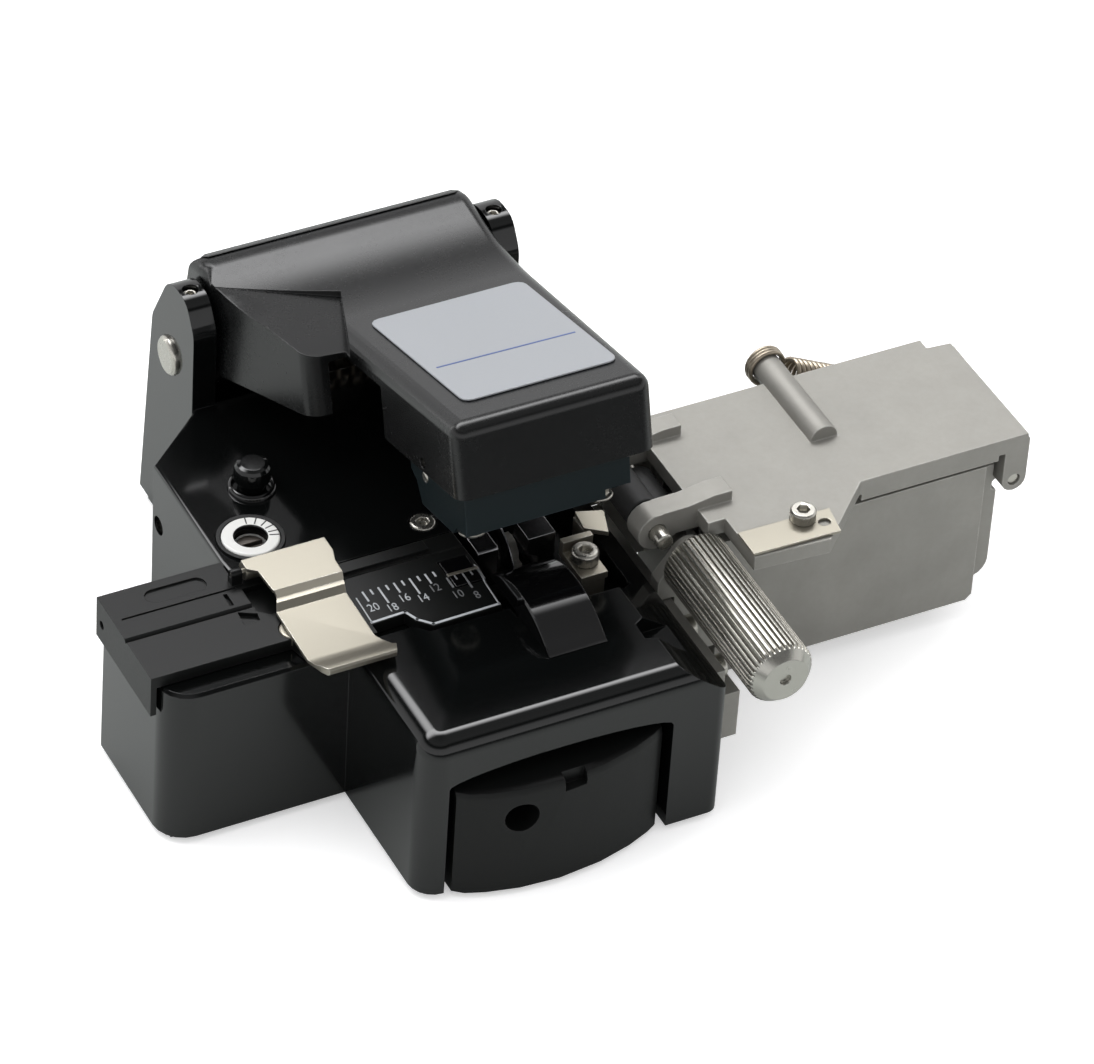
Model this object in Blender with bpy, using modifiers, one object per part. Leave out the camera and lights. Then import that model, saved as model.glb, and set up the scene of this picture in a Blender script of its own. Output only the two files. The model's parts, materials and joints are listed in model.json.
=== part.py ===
"""Hand-held optical fibre cleaver with an attached off-cut collector.

A die-cast body carries a linear slider with a round cleaving blade, a spring-opened arm with a
self-aligning clamp head, a removable fibre adapter with a sheet-steel clamp lid, and at the right
a collector box whose two feed rollers are turned by a fluted knob.

Working dimensions are in millimetres from the body's datum corner: the point on the resting plane
where the left block's front face meets the nose's left face. +X runs to the right, +Y to the back,
+Z up. The model's own origin is on the resting plane straight below the cleaving point, so every
position is shifted by (BLADE_X, FIBRE_Y) when an object is placed.

Outlines and places across an axis are (x, y) for axis z, (y, z) for x and (x, z) for y.
"""

import math

import bmesh
import bpy
from mathutils import Matrix, Vector

# ------------------------------------------------------------------ driving dimensions
MM = 0.001
BLADE_X = 25.8          # blade plane
FIBRE_Y = 10.4          # fibre line
FIBRE_Z = 25.2          # fibre height
DATUM = Vector((BLADE_X, FIBRE_Y, 0.0))     # model origin, seen from the datum corner

BODY_BOTTOM = 1.0
DECK_Z = 25.0
LEDGE_Z = 23.4          # seat of the fibre adapter
NOSE_W, NOSE_FRONT = 40.4, -21.0
BLOCK_LEFT = -23.4
DECK_LEFT = -8.2
BODY_BACK = 59.3

HINGE_Y, HINGE_Z = HINGE = 53.4, 28.8       # arm hinge axis
HINGE_PIN_R = 2.6
ARM_OPEN = 15.5                             # label face level -> resting open pose, degrees
ARM_TRAVEL = 8.0                            # resting open pose -> closed, degrees
HEAD_LEVEL = 4.8                            # tilt the head takes up while the arm closes, degrees
HEAD_PIN = 8.1, 28.7                        # head pin (y, z), with the label face level
ARM_TOP = 37.3

BLADE_R = 6.4
BLADE_Y, BLADE_Z = BLADE = 13.7, FIBRE_Z - BLADE_R
PULL_SCREW = 11.9, 12.3                     # (x, z)

LID_Y, LID_Z = LID = 15.0, 26.6             # clamp lid hinge axis
DIAL = 	-3.1, 21.7                           # (x, y)
BUTTON = 1.1, 30.5                          # (x, y)

COVER_HINGE = 90.5, 21.4                    # collector cover hinge axis (x, z)
COVER_TOP = 28.4
DRIVE_X, DRIVE_Z = DRIVE = 45.5, 23.5       # drive roller axis
DRIVE_R = 2.4
PINCH = 41.9, 26.6                          # pinch roller axis (x, z)
PINCH_R = 2.25
KNOB_R = 4.3

COVER_SCREWS = (-19.2, 10.0), (-1.4, 30.0), (22.0, 36.8), (34.5, -3.0)      # (x, y)
BRACKET_SCREWS = (-12.0, 15.7), (-4.2, 15.7)                                # (y, z)
DECK_SCREW = 17.4, 16.4                     # (x, y)
CLAMP_SCREW = 33.2, 3.8                     # (x, y)
SIDE_SCREW = 37.2, 16.6                     # (y, z)
EAR_SCREWS = {"left": (1.9, 51.2), "right": (43.3, 51.2)}                   # (x, y)
LEAF_SCREW = 58.0, -5.0                     # (x, y)
SPRING_POST = 67.9, COVER_TOP               # cover end of the extension spring (x, z)
SPRING_PEG = 85.0, 19.8                     # box end of the extension spring (x, z)

ROUND = 20                                  # facets round a small turned piece
SMOOTH_ANGLE = 30.0                         # sharper edges stay hard, degrees

LEFT, RIGHT = (-1, 0, 0), (1, 0, 0)
FRONT, BACK = (0, -1, 0), (0, 1, 0)
DOWN, UP = (0, 0, -1), (0, 0, 1)

# ------------------------------------------------------------------ scene and materials
for old in list(bpy.data.objects):
    bpy.data.objects.remove(old, do_unlink=True)

PARTS = bpy.data.collections.new("fibre_cleaver")
CUTTERS = bpy.data.collections.new("cutters")
bpy.context.scene.collection.children.link(PARTS)
bpy.context.scene.collection.children.link(CUTTERS)


def make_material(name, colour, roughness, metallic=0.0):
    material = bpy.data.materials.new(name)
    material.use_nodes = True
    shader = material.node_tree.nodes["Principled BSDF"]
    shader.inputs["Base Color"].default_value = (*colour, 1.0)
    shader.inputs["Roughness"].default_value = roughness
    shader.inputs["Metallic"].default_value = metallic
    material.diffuse_color = (*colour, 1.0)
    return material


SATIN_BLACK = make_material("satin_black_paint", colour=(0.022, 0.024, 0.024), roughness=0.34)
GLOSS_BLACK = make_material("gloss_black", colour=(0.010, 0.010, 0.011), roughness=0.16)
BLACK_PLASTIC = make_material("black_plastic", colour=(0.028, 0.030, 0.030), roughness=0.55)
BLUE_GREY = make_material("blue_grey_anodised", colour=(0.060, 0.085, 0.105), roughness=0.48,
                          metallic=0.3)
CAST_GREY = make_material("bare_die_cast", colour=(0.46, 0.46, 0.45), roughness=0.42,
                          metallic=0.85)
NICKEL = make_material("nickel_plate", colour=(0.72, 0.69, 0.62), roughness=0.26, metallic=1.0)
STEEL = make_material("turned_steel", colour=(0.62, 0.60, 0.57), roughness=0.30, metallic=1.0)
HARD_STEEL = make_material("hardened_blade_steel", colour=(0.50, 0.50, 0.52), roughness=0.18,
                           metallic=1.0)
SPRING_WIRE = make_material("spring_wire", colour=(0.48, 0.45, 0.40), roughness=0.32,
                            metallic=1.0)
RUBBER = make_material("black_rubber", colour=(0.030, 0.030, 0.030), roughness=0.75)
LABEL = make_material("silver_label", colour=(0.74, 0.75, 0.77), roughness=0.38, metallic=0.35)
DIAL_WHITE = make_material("white_dial", colour=(0.85, 0.85, 0.83), roughness=0.40)

# ------------------------------------------------------------------ placing
AXIS_AT = {}            # pivot name -> its place in the pose its pieces are drawn in


def place(obj, at, parent):
    """Puts an object's origin at a point given in datum millimetres."""
    obj.parent = parent
    obj.location = (Vector(at) - (AXIS_AT[parent.name] if parent else DATUM)) * MM


def pivot(name, at, parent=None, tilt=0.0, shown_at=None):
    """An empty on a joint axis. Pieces under it are drawn in its own undisturbed pose."""
    AXIS_AT[name] = Vector(at)
    empty = bpy.data.objects.new(name, None)
    empty.empty_display_size = 0.004
    PARTS.objects.link(empty)
    place(empty, at if shown_at is None else shown_at, parent)
    empty.rotation_euler = (math.radians(tilt), 0.0, 0.0)
    return empty


def settle(bm, name, material=None, parent=None):
    """Turns a bmesh in datum millimetres into a centred object; no material makes a cutter."""
    bmesh.ops.recalc_face_normals(bm, faces=bm.faces)
    if bm.calc_volume(signed=True) < 0:
        bmesh.ops.reverse_faces(bm, faces=bm.faces)
    low = Vector([min(v.co[i] for v in bm.verts) for i in range(3)])
    high = Vector([max(v.co[i] for v in bm.verts) for i in range(3)])
    origin = (low + high) / 2
    bm.transform(Matrix.Scale(MM, 4) @ Matrix.Translation(-origin))
    mesh = bpy.data.meshes.new(name)
    bm.to_mesh(mesh)
    bm.free()
    obj = bpy.data.objects.new(name, mesh)
    if material is None:
        CUTTERS.objects.link(obj)
        obj.hide_render = True
        obj.display_type = 'WIRE'
    else:
        PARTS.objects.link(obj)
        mesh.materials.append(material)
        mesh.shade_smooth()
        mesh.set_sharp_from_angle(angle=math.radians(SMOOTH_ANGLE))
    place(obj, origin, parent)
    return obj


# ------------------------------------------------------------------ solids
def spot(axis, at, along):
    """The point at a place across an axis and a distance along it."""
    first, second = at
    return {'x': (along, first, second), 'y': (first, along, second),
            'z': (first, second, along)}[axis]


def bevel(bm, width, segments, pick):
    """Rounds the edges that pick(midpoint, direction) accepts."""
    edges = []
    for edge in bm.edges:
        start, end = edge.verts[0].co, edge.verts[1].co
        if pick((start + end) / 2, (end - start).normalized()):
            edges.append(edge)
    bmesh.ops.bevel(bm, geom=edges, offset=width, segments=segments, profile=0.5,
                    affect='EDGES', clamp_overlap=True)


def box(low, high):
    bm = bmesh.new()
    bmesh.ops.create_cube(bm, size=1.0)
    low, high = Vector(low), Vector(high)
    bm.transform(Matrix.Translation((low + high) / 2) @ Matrix.Diagonal((*(high - low), 1.0)))
    return bm


def arc(centre_1, centre_2, radius, start, end, steps):
    """Points on a circle from angle start to end, in degrees."""
    angles = [math.radians(start + (end - start) * i / steps) for i in range(steps + 1)]
    return [(centre_1 + radius * math.cos(a), centre_2 + radius * math.sin(a)) for a in angles]


def rounded(points, radii, steps):
    """Replaces each corner of a closed outline by a fillet; radii is one value or a list."""
    out = []
    for i, point in enumerate(points):
        radius = radii[i] if isinstance(radii, list) else radii
        corner = Vector(point)
        if radius <= 0:
            out.append((corner.x, corner.y))
            continue
        back = Vector(points[i - 1]) - corner
        ahead = Vector(points[(i + 1) % len(points)]) - corner
        half = back.angle(ahead) / 2
        reach = min(radius / math.tan(half), back.length * 0.49, ahead.length * 0.49)
        fitted = reach * math.tan(half)
        back.normalize()
        ahead.normalize()
        centre = corner + (back + ahead).normalized() * (fitted / math.sin(half))
        start = corner + back * reach - centre
        end = corner + ahead * reach - centre
        turn = start.angle_signed(end)
        for k in range(steps + 1):
            cos, sin = math.cos(-turn * k / steps), math.sin(-turn * k / steps)
            out.append((centre.x + start.x * cos - start.y * sin,
                        centre.y + start.x * sin + start.y * cos))
    return out


# lays the XY plane across each axis
TURN = {
    'z': Matrix.Identity(4),
    'x': Matrix(((0, 0, 1, 0), (1, 0, 0, 0), (0, 1, 0, 0), (0, 0, 0, 1))),
    'y': Matrix(((1, 0, 0, 0), (0, 0, -1, 0), (0, 1, 0, 0), (0, 0, 0, 1))),
}


def outline(points, axis, low, high):
    """A flat filled outline given thickness along an axis."""
    curve = bpy.data.curves.new("outline", 'CURVE')
    curve.dimensions = '2D'
    curve.fill_mode = 'BOTH'
    curve.extrude = (high - low) / 2
    spline = curve.splines.new('POLY')
    spline.points.add(len(points) - 1)
    for target, point in zip(spline.points, points):
        target.co = (point[0], point[1], 0.0, 1.0)
    spline.use_cyclic_u = True
    carrier = bpy.data.objects.new("outline", curve)
    bpy.context.scene.collection.objects.link(carrier)
    bpy.context.view_layer.update()
    evaluated = carrier.evaluated_get(bpy.context.evaluated_depsgraph_get())
    mesh = bpy.data.meshes.new_from_object(evaluated)
    bm = bmesh.new()
    bm.from_mesh(mesh)
    bpy.data.objects.remove(carrier)
    bpy.data.curves.remove(curve)
    bpy.data.meshes.remove(mesh)
    bmesh.ops.remove_doubles(bm, verts=bm.verts, dist=1e-4)
    bmesh.ops.dissolve_limit(bm, angle_limit=math.radians(0.2), verts=bm.verts, edges=bm.edges)
    shift = spot(axis, (0, 0), (low + high) / 2)
    bm.transform(Matrix.Translation(shift) @ TURN[axis])
    return bm


def rod(start, end, radius, facets=ROUND, end_radius=None):
    """A cylinder or cone between two points."""
    start, end = Vector(start), Vector(end)
    run = end - start
    bm = bmesh.new()
    bmesh.ops.create_cone(bm, cap_ends=True, cap_tris=False, segments=facets, radius1=radius,
                          radius2=radius if end_radius is None else end_radius,
                          depth=run.length)
    turn = run.to_track_quat('Z', 'Y').to_matrix().to_4x4()
    bm.transform(Matrix.Translation((start + end) / 2) @ turn)
    return bm


def bar(axis, at, low, high, radius, facets=ROUND):
    """A cylinder along an axis."""
    return rod(spot(axis, at, low), spot(axis, at, high), radius, facets)


def hull(points):
    bm = bmesh.new()
    for point in points:
        bm.verts.new(point)
    bmesh.ops.convex_hull(bm, input=bm.verts)
    bmesh.ops.dissolve_limit(bm, angle_limit=math.radians(1.0), verts=bm.verts, edges=bm.edges)
    return bm


def turned(name, profile, at, material, axis=UP, parent=None, steps=ROUND):
    """A turned piece: (radius, height) points down the outer side from the top of the axis.

    A profile that ends on its first point makes a ring.
    """
    closed = profile[0] == profile[-1]
    verts = [(r * MM, 0.0, h * MM) for r, h in (profile[:-1] if closed else profile)]
    edges = [(i, i + 1) for i in range(len(verts) - 1)]
    if closed:
        edges.append((len(verts) - 1, 0))
    mesh = bpy.data.meshes.new(name)
    mesh.from_pydata(verts, edges, [])
    mesh.materials.append(material)
    obj = bpy.data.objects.new(name, mesh)
    PARTS.objects.link(obj)
    screw = obj.modifiers.new("turn", 'SCREW')
    screw.steps = steps
    screw.render_steps = steps
    screw.use_merge_vertices = True
    screw.merge_threshold = 0.00001
    screw.use_smooth_shade = True
    obj.rotation_euler = Vector(axis).to_track_quat('Z', 'Y').to_euler()
    place(obj, at, parent)
    return obj


def wire(name, points, radius, parent=None):
    """A spring wire along a path of datum points."""
    low = Vector([min(p[i] for p in points) for i in range(3)])
    high = Vector([max(p[i] for p in points) for i in range(3)])
    middle = (low + high) / 2
    curve = bpy.data.curves.new(name, 'CURVE')
    curve.dimensions = '3D'
    curve.bevel_depth = radius * MM
    curve.bevel_resolution = 1
    curve.use_fill_caps = True
    spline = curve.splines.new('POLY')
    spline.points.add(len(points) - 1)
    for target, point in zip(spline.points, points):
        target.co = (*((Vector(point) - middle) * MM), 1.0)
    curve.materials.append(SPRING_WIRE)
    obj = bpy.data.objects.new(name, curve)
    PARTS.objects.link(obj)
    place(obj, middle, parent)


# ------------------------------------------------------------------ booleans and screws
def boolean(obj, bm, name, operation='DIFFERENCE'):
    """Combines an object with a solid drawn in the same pose."""
    other = settle(bm, name, parent=obj.parent)
    modifier = obj.modifiers.new(operation.lower(), 'BOOLEAN')
    modifier.operation = operation
    modifier.solver = 'EXACT'
    modifier.object = other


def cut(obj, *solids):
    for bm in solids:
        boolean(obj, bm, f"{obj.name}_cut_{len(obj.modifiers)}")


def add(obj, *solids):
    for bm in solids:
        boolean(obj, bm, f"{obj.name}_add_{len(obj.modifiers)}", 'UNION')


def cut_hex_socket(obj, top, axis, radius, depth):
    top, axis = Vector(top), Vector(axis)
    boolean(obj, rod(top + axis * 0.5, top - axis * depth, radius, 6), obj.name + "_socket")


def socket_screw(name, top, axis, head_r, head_h, shank_r, length, parent=None, steps=16):
    """A socket-head cap screw: head's top face centred on a point, shank along -axis."""
    chamfer = 0.16 * head_h
    tip = -head_h - length
    profile = [(0, 0), (head_r - chamfer, 0), (head_r, -chamfer), (head_r, -head_h),
               (shank_r, -head_h), (shank_r, tip + 0.3), (shank_r - 0.3, tip), (0, tip)]
    screw = turned(name, profile, top, STEEL, axis, parent, steps)
    cut_hex_socket(screw, top, axis, radius=head_r * 0.52, depth=head_h * 0.62)


def grub_screw(name, top, axis, radius, length):
    """A headless set screw with a hexagon socket."""
    profile = [(0, 0), (radius - 0.2, 0), (radius, -0.2), (radius, -length + 0.3),
               (radius - 0.3, -length), (0, -length)]
    screw = turned(name, profile, top, STEEL, axis, steps=12)
    cut_hex_socket(screw, top, axis, radius=radius * 0.55, depth=min(1.6, length * 0.5))


# ------------------------------------------------------------------ joint axes
hinge_at = Vector(spot('x', HINGE, BLADE_X))
pin_level = Vector(spot('x', HEAD_PIN, BLADE_X))
close_turn = Matrix.Rotation(-math.radians(ARM_OPEN - ARM_TRAVEL), 3, 'X')
pin_closed = hinge_at + close_turn @ (pin_level - hinge_at)     # where the head is level

arm_axis = pivot("arm_axis", hinge_at, tilt=-ARM_OPEN)
head_axis = pivot("head_axis", pin_closed, arm_axis, tilt=ARM_OPEN - ARM_TRAVEL - HEAD_LEVEL,
                  shown_at=pin_level)
slider_axis = pivot("slider_axis", (BLADE_X, BLADE_Y, 9.0))
blade_axis = pivot("blade_axis", spot('x', BLADE, BLADE_X), slider_axis)
lid_axis = pivot("lid_axis", spot('x', LID, -1.5))
dial_axis = pivot("dial_axis", (*DIAL, DECK_Z))
pivot("button_axis", (*BUTTON, DECK_Z))
button_axis = bpy.data.objects["button_axis"]
cover_axis = pivot("cover_axis", spot('y', COVER_HINGE, FIBRE_Y))
drive_axis = pivot("drive_axis", spot('y', DRIVE, FIBRE_Y))
pinch_axis = pivot("pinch_axis", spot('y', PINCH, FIBRE_Y), cover_axis)


# ------------------------------------------------------------------ die-cast body
def nose_solid():
    nose = outline([(0, BODY_BOTTOM), (NOSE_W, BODY_BOTTOM), (NOSE_W, DECK_Z), (0, DECK_Z)],
                   'y', NOSE_FRONT, 6.0)
    # upright left front corner, then the top's front and left edges
    bevel(nose, 3.2, 5, lambda mid, along: abs(along.z) > 0.99 and mid.y < NOSE_FRONT + 0.1
          and mid.x < 1)
    bevel(nose, 2.6, 5, lambda mid, along: mid.z > DECK_Z - 0.01
          and (mid.y < -17.0 or mid.x < 0.1) and mid.y < 5.9)
    return nose


def left_block_solid():
    """The block below the adapter, flaring slightly to its foot."""
    flare = 0.3
    block = box((BLOCK_LEFT, 0.0, BODY_BOTTOM), (3.0, 20.2, LEDGE_Z))
    for v in block.verts:
        if v.co.z < BODY_BOTTOM + 0.1:
            if v.co.x < 0:
                v.co.x -= flare
            if v.co.y < 1:
                v.co.y -= flare
    # left front and left back uprights, then the top edges
    bevel(block, 4.0, 5, lambda mid, along: abs(along.z) > 0.9 and mid.x < -20 and mid.y < 1)
    bevel(block, 1.2, 2, lambda mid, along: abs(along.z) > 0.9 and mid.x < -20 and mid.y > 19)
    bevel(block, 0.4, 1, lambda mid, along: mid.z > LEDGE_Z - 0.01 and mid.x < 0)
    return block


def shape_body_outside(body):
    add(body, nose_solid(), left_block_solid())
    # wide chamfer along the right
    cut(body, outline([(33.2, 25.6), (NOSE_W + 0.6, 19.9), (45.0, 19.9), (45.0, 25.6)],
                      'y', -24.0, 46.2))
    # small round on the nose's right front corner
    radius = 1.6
    corner = [(NOSE_W + 0.6, NOSE_FRONT + radius), (NOSE_W, NOSE_FRONT + radius),
              *arc(NOSE_W - radius, NOSE_FRONT + radius, radius, -15, -90, 5),
              (NOSE_W - radius, NOSE_FRONT - 0.6), (NOSE_W + 0.6, NOSE_FRONT - 0.6)]
    cut(body, outline(corner, 'z', 0.0, 26.0))
    # hinge ears
    foot = BODY_BOTTOM + 0.4
    ear = rounded([(46.6, foot), (46.6, 36.6), (49.0, 40.3), (54.2, 40.3), (58.9, 31.4),
                   (61.8, foot)], [0, 4.0, 2.5, 5.0, 4.0, 0], 4)
    for left in (0.35, 41.75):
        add(body, outline(ear, 'x', left, left + 3.1))


def cut_slider_bay(body):
    """Arched window in the nose and the bay behind it, open below."""
    crown = [(18.1 + 14.9 * math.cos(math.radians(a)), 17.6 + 1.7 * math.sin(math.radians(a)))
             for a in range(12, 169, 13)]
    arch = [(3.3, -2.0), (33.0, -2.0), (33.0, 17.4), *crown, (3.3, 17.6)]
    cut(body, outline(arch, 'y', -24.0, -14.0),
        box((3.9, -15.0, -2.0), (32.5, 35.0, 17.8)),
        box((24.1, -9.6, 16.0), (29.0, 20.6, 21.9)),        # raised part for the blade yoke
        box((24.5, -11.0, 20.0), (27.1, 22.0, 26.5)))       # narrow blade slot


def cut_deck_recesses(body):
    clamp_pit = [(20.2, -3.7), (34.6, -3.7), (36.5, -1.8), (36.5, 20.5), (20.2, 20.5)]
    adapter_seat = [(-0.6, -0.5), (8.2, -0.5), (9.6, -2.0), (20.6, -2.0), (20.6, 13.6),
                    (4.2, 13.6), (4.2, 16.4), (-0.6, 16.4)]
    edge_notch = [(32.7, -10.5), (34.2, -9.6), (42.0, -9.6), (42.0, -14.6), (36.2, -14.6),
                  (32.6, -13.2)]
    cut(body, outline(clamp_pit, 'z', 19.4, 27.0),
        outline(adapter_seat, 'z', LEDGE_Z - 0.04, 27.0),
        outline(edge_notch, 'z', 22.4, 27.0),
        box((3.3, 46.9, 23.4), (41.9, 64.0, 30.0)))         # between the ears, for the arm lugs


def cut_underside(body):
    """Hollows in the left block and below the hinge, and the bottom cover's seat."""
    cover_seat = [(-21.4, 2.2), (1.8, 2.2), (1.8, -12.4), (36.6, -12.4), (36.6, 56.6),
                  (2.6, 56.6), (2.6, 40.0), (-4.6, 36.0), (-4.6, 17.8), (-21.4, 17.8)]
    cut(body, box((-17.0, 3.4, -1.0), (-5.6, 16.8, 20.8)),
        box((4.6, 38.6, -1.0), (34.6, 55.0, 20.6)),
        outline(cover_seat, 'z', -1.0, 2.3))


# axis, place, low, high, radius, facets
BODY_BORES = (
    ('x', HINGE, -1.5, 46.5, HINGE_PIN_R + 0.03, 32),
    ('z', DIAL, 20.6, 27.0, 4.25, 32),
    ('z', BUTTON, 18.6, 27.0, 1.75, 20),
    ('x', SIDE_SCREW, -10.0, -3.4, 1.3, 16),
    ('z', DECK_SCREW, 18.5, 27.0, 1.1, 16),
    ('z', DECK_SCREW, 24.0, 27.0, 1.75, 20),
    *(('z', at, 34.0, 42.0, 1.05, 16) for at in EAR_SCREWS.values()),
    ('z', CLAMP_SCREW, 18.0, 20.5, 0.95, 16),
    *(('z', at, 1.5, 7.5, 0.95, 12) for at in COVER_SCREWS),
    *(('x', at, 36.5, 42.0, 0.95, 12) for at in BRACKET_SCREWS),
)


def build_body():
    plan = [(2, -2.0), (NOSE_W, -2.0), (NOSE_W, 46.3), (44.8, 46.5), (44.8, BODY_BACK),
            (0.4, BODY_BACK), (0.4, 46.5), (DECK_LEFT, 39.0), (DECK_LEFT, 19.4), (-7.9, 16.4),
            (2, 16.4)]
    slab = outline(plan, 'z', BODY_BOTTOM, DECK_Z)
    bevel(slab, 0.5, 2, lambda mid, along: mid.z > DECK_Z - 0.01
          and (mid.x < 1.9 or mid.y > 59) and mid.y > 17.5)
    body = settle(slab, "base_body", SATIN_BLACK)
    shape_body_outside(body)
    cut_slider_bay(body)
    cut_deck_recesses(body)
    cut_underside(body)
    cut(body, *(bar(*bore) for bore in BODY_BORES))


def build_bottom():
    """Bottom cover with its screws, and the rubber pad under the body."""
    plan = [(-21.1, 2.5), (2.1, 2.5), (2.1, -12.1), (36.3, -12.1), (36.3, 56.3),
            (2.9, 56.3), (2.9, 39.8), (-4.3, 35.8), (-4.3, 17.5), (-21.1, 17.5)]
    bottom = settle(outline(plan, 'z', 1.0, 2.0), "bottom_cover", STEEL)
    for at in COVER_SCREWS:
        cut(bottom, bar('z', at, 0.0, 3.0, 1.8, 16))
    for i, at in enumerate(COVER_SCREWS):
        socket_screw(f"cover_screw_{i + 1}", (*at, 1.0), DOWN, head_r=1.65, head_h=0.9,
                     shank_r=0.85, length=5.0, steps=14)
    pad = [(-22.2, 1.6), (1.2, 1.6), (1.2, -11.6), (39.2, -11.6), (39.2, 47.2), (43.6, 47.8),
           (43.6, 57.6), (1.6, 57.6), (1.6, 46.6), (-6.8, 38.4), (-6.8, 18.6), (-22.2, 18.6)]
    settle(outline(pad, 'z', 0.0, 0.8), "base_pad", RUBBER)


# ------------------------------------------------------------------ fixed small parts
def build_guide_rail():
    section = [(18.6, 2.3), (26.4, 2.3), (26.4, 3.4), (25.4, 4.1), (27.0, 5.0), (27.0, 5.6),
               (18.0, 5.6), (18.0, 5.0), (19.6, 4.1), (18.6, 3.4)]
    settle(outline(section, 'y', -11.8, 33.8), "guide_rail", STEEL)


def build_lower_clamps():
    left = rounded([(8.4, 19.5), (8.4, 25.1), (12.4, 25.1), (12.4, 19.5)], [0, 0.3, 0.3, 0], 1)
    settle(outline(left, 'x', 21.0, 23.8), "lower_clamp_left", HARD_STEEL)
    right = [(29.2, 19.5), (31.5, 19.5), (31.5, 25.1), (27.8, 25.1), (27.8, 22.6), (29.2, 21.9)]
    settle(outline(right, 'y', 8.4, 12.4), "lower_clamp_right", HARD_STEEL)


def build_clamp_bracket():
    bracket = settle(box((31.3, 0.9, 22.6), (34.9, 7.0, 23.6)), "clamp_bracket", NICKEL)
    add(bracket, box((31.3, 6.0, 22.7), (35.4, 6.9, 25.2)),
        box((31.6, 1.0, 19.5), (34.6, 2.2, 23.0)))
    cut(bracket, bar('z', CLAMP_SCREW, 22.0, 24.0, 0.95, 16))
    socket_screw("clamp_bracket_screw", (*CLAMP_SCREW, 25.35), UP, head_r=1.75, head_h=1.7,
                 shank_r=0.85, length=5.0)
    plate = [(35.0, 7.8), (37.5, 6.0), (38.8, 9.9), (35.4, 11.0)]
    guide = settle(outline(plate, 'z', 24.3, 24.95), "clamp_guide_plate", NICKEL)
    add(guide, box((35.0, 7.9, 19.5), (36.2, 10.6, 24.5)))


def build_body_screws():
    socket_screw("deck_screw", (*DECK_SCREW, 25.2), UP, head_r=1.6, head_h=1.1,
                 shank_r=0.95, length=5.0)
    grub_screw("side_set_screw", spot('x', SIDE_SCREW, -7.4), LEFT, radius=1.2, length=3.6)
    for side, at in EAR_SCREWS.items():
        grub_screw(f"ear_set_screw_{side}", (*at, 39.7), UP, radius=0.97, length=5.2)


def build_hinge():
    """Arm hinge pin, and the torsion spring round it that lifts the arm."""
    radius, length = HINGE_PIN_R, 45.8
    turned("arm_hinge_pin",
           [(0, 0), (radius - 0.4, 0), (radius, -0.4), (radius, 0.4 - length),
            (radius - 0.4, -length), (0, -length)],
           spot('x', HINGE, -0.4), STEEL, LEFT, steps=32)
    turns, steps_per_turn, coil_r = 6, 12, 3.7
    steps = turns * steps_per_turn
    coil = [(17.0, 47.6, HINGE_Z - 3.75)]
    for i in range(steps + 1):
        angle = math.radians(-90.0 + 360.0 * i / steps_per_turn)
        coil.append((17.0 + 11.0 * i / steps, HINGE_Y + coil_r * math.cos(angle),
                     HINGE_Z + coil_r * math.sin(angle)))
    coil += [(28.0, HINGE_Y + 3.0, HINGE_Z - 3.85), (28.0, HINGE_Y + 5.0, HINGE_Z - 4.3)]
    wire("arm_spring", coil, 0.45)


def build_blade_guard():
    """Arched guard over the blade's forward position."""
    radius, centre_y, centre_z = 11.6, -3.7, 16.75
    left, right = 20.5, 28.2
    crown = arc(centre_y, centre_z, radius, math.degrees(math.asin(8.75 / radius)),
                180 - math.degrees(math.asin(8.45 / radius)), 14)
    solid = outline([(-12.0, 25.1), (3.9, 25.1), *crown], 'x', left, right)
    bevel(solid, 1.1, 3, lambda mid, along: mid.x < left + 0.01 and mid.z > 25.3)
    bevel(solid, 0.25, 1, lambda mid, along: mid.x > right - 0.01 and mid.z > 25.3)
    guard = settle(solid, "blade_guard", GLOSS_BLACK)
    cut(guard, box((24.5, -10.8, 24.0), (27.1, 6.0, 25.5)))


# ------------------------------------------------------------------ arm (label face level)
def shoulder_height(x, y):
    """Height of the sloping facet at the left of the arm."""
    return 39.15 - 0.0886 * (x - 7.3) + 0.218 * (y - 44.5)


def trim_arm_top(shell):
    """Left shoulder facet, then the soft left and right edges of the top face."""
    facet = [(0.0, 26.0), (13.4, 26.0), (13.9, 28.8), (18.2, 39.8), (7.3, 44.6), (0.0, 47.8)]
    cut(shell, hull([(x, y, shoulder_height(x, y)) for x, y in facet]
                    + [(x, y, 50.0) for x, y in facet]))
    left_edge = [(15.2, 38.5), (12.0, 38.5), (12.0, 35.0), (13.5, 35.6), (14.1, 36.7)]
    cut(shell, outline(left_edge, 'y', -4.0, 28.6))
    right_edge = [(38.0, 37.6), (39.0, 36.9), (39.6, 35.4), (42.0, 35.0), (42.0, 38.5)]
    cut(shell, hull([(x + shift, y, z) for shift, y in ((0, -4.0), (1.8, 38.0))
                     for x, z in right_edge]))


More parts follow.
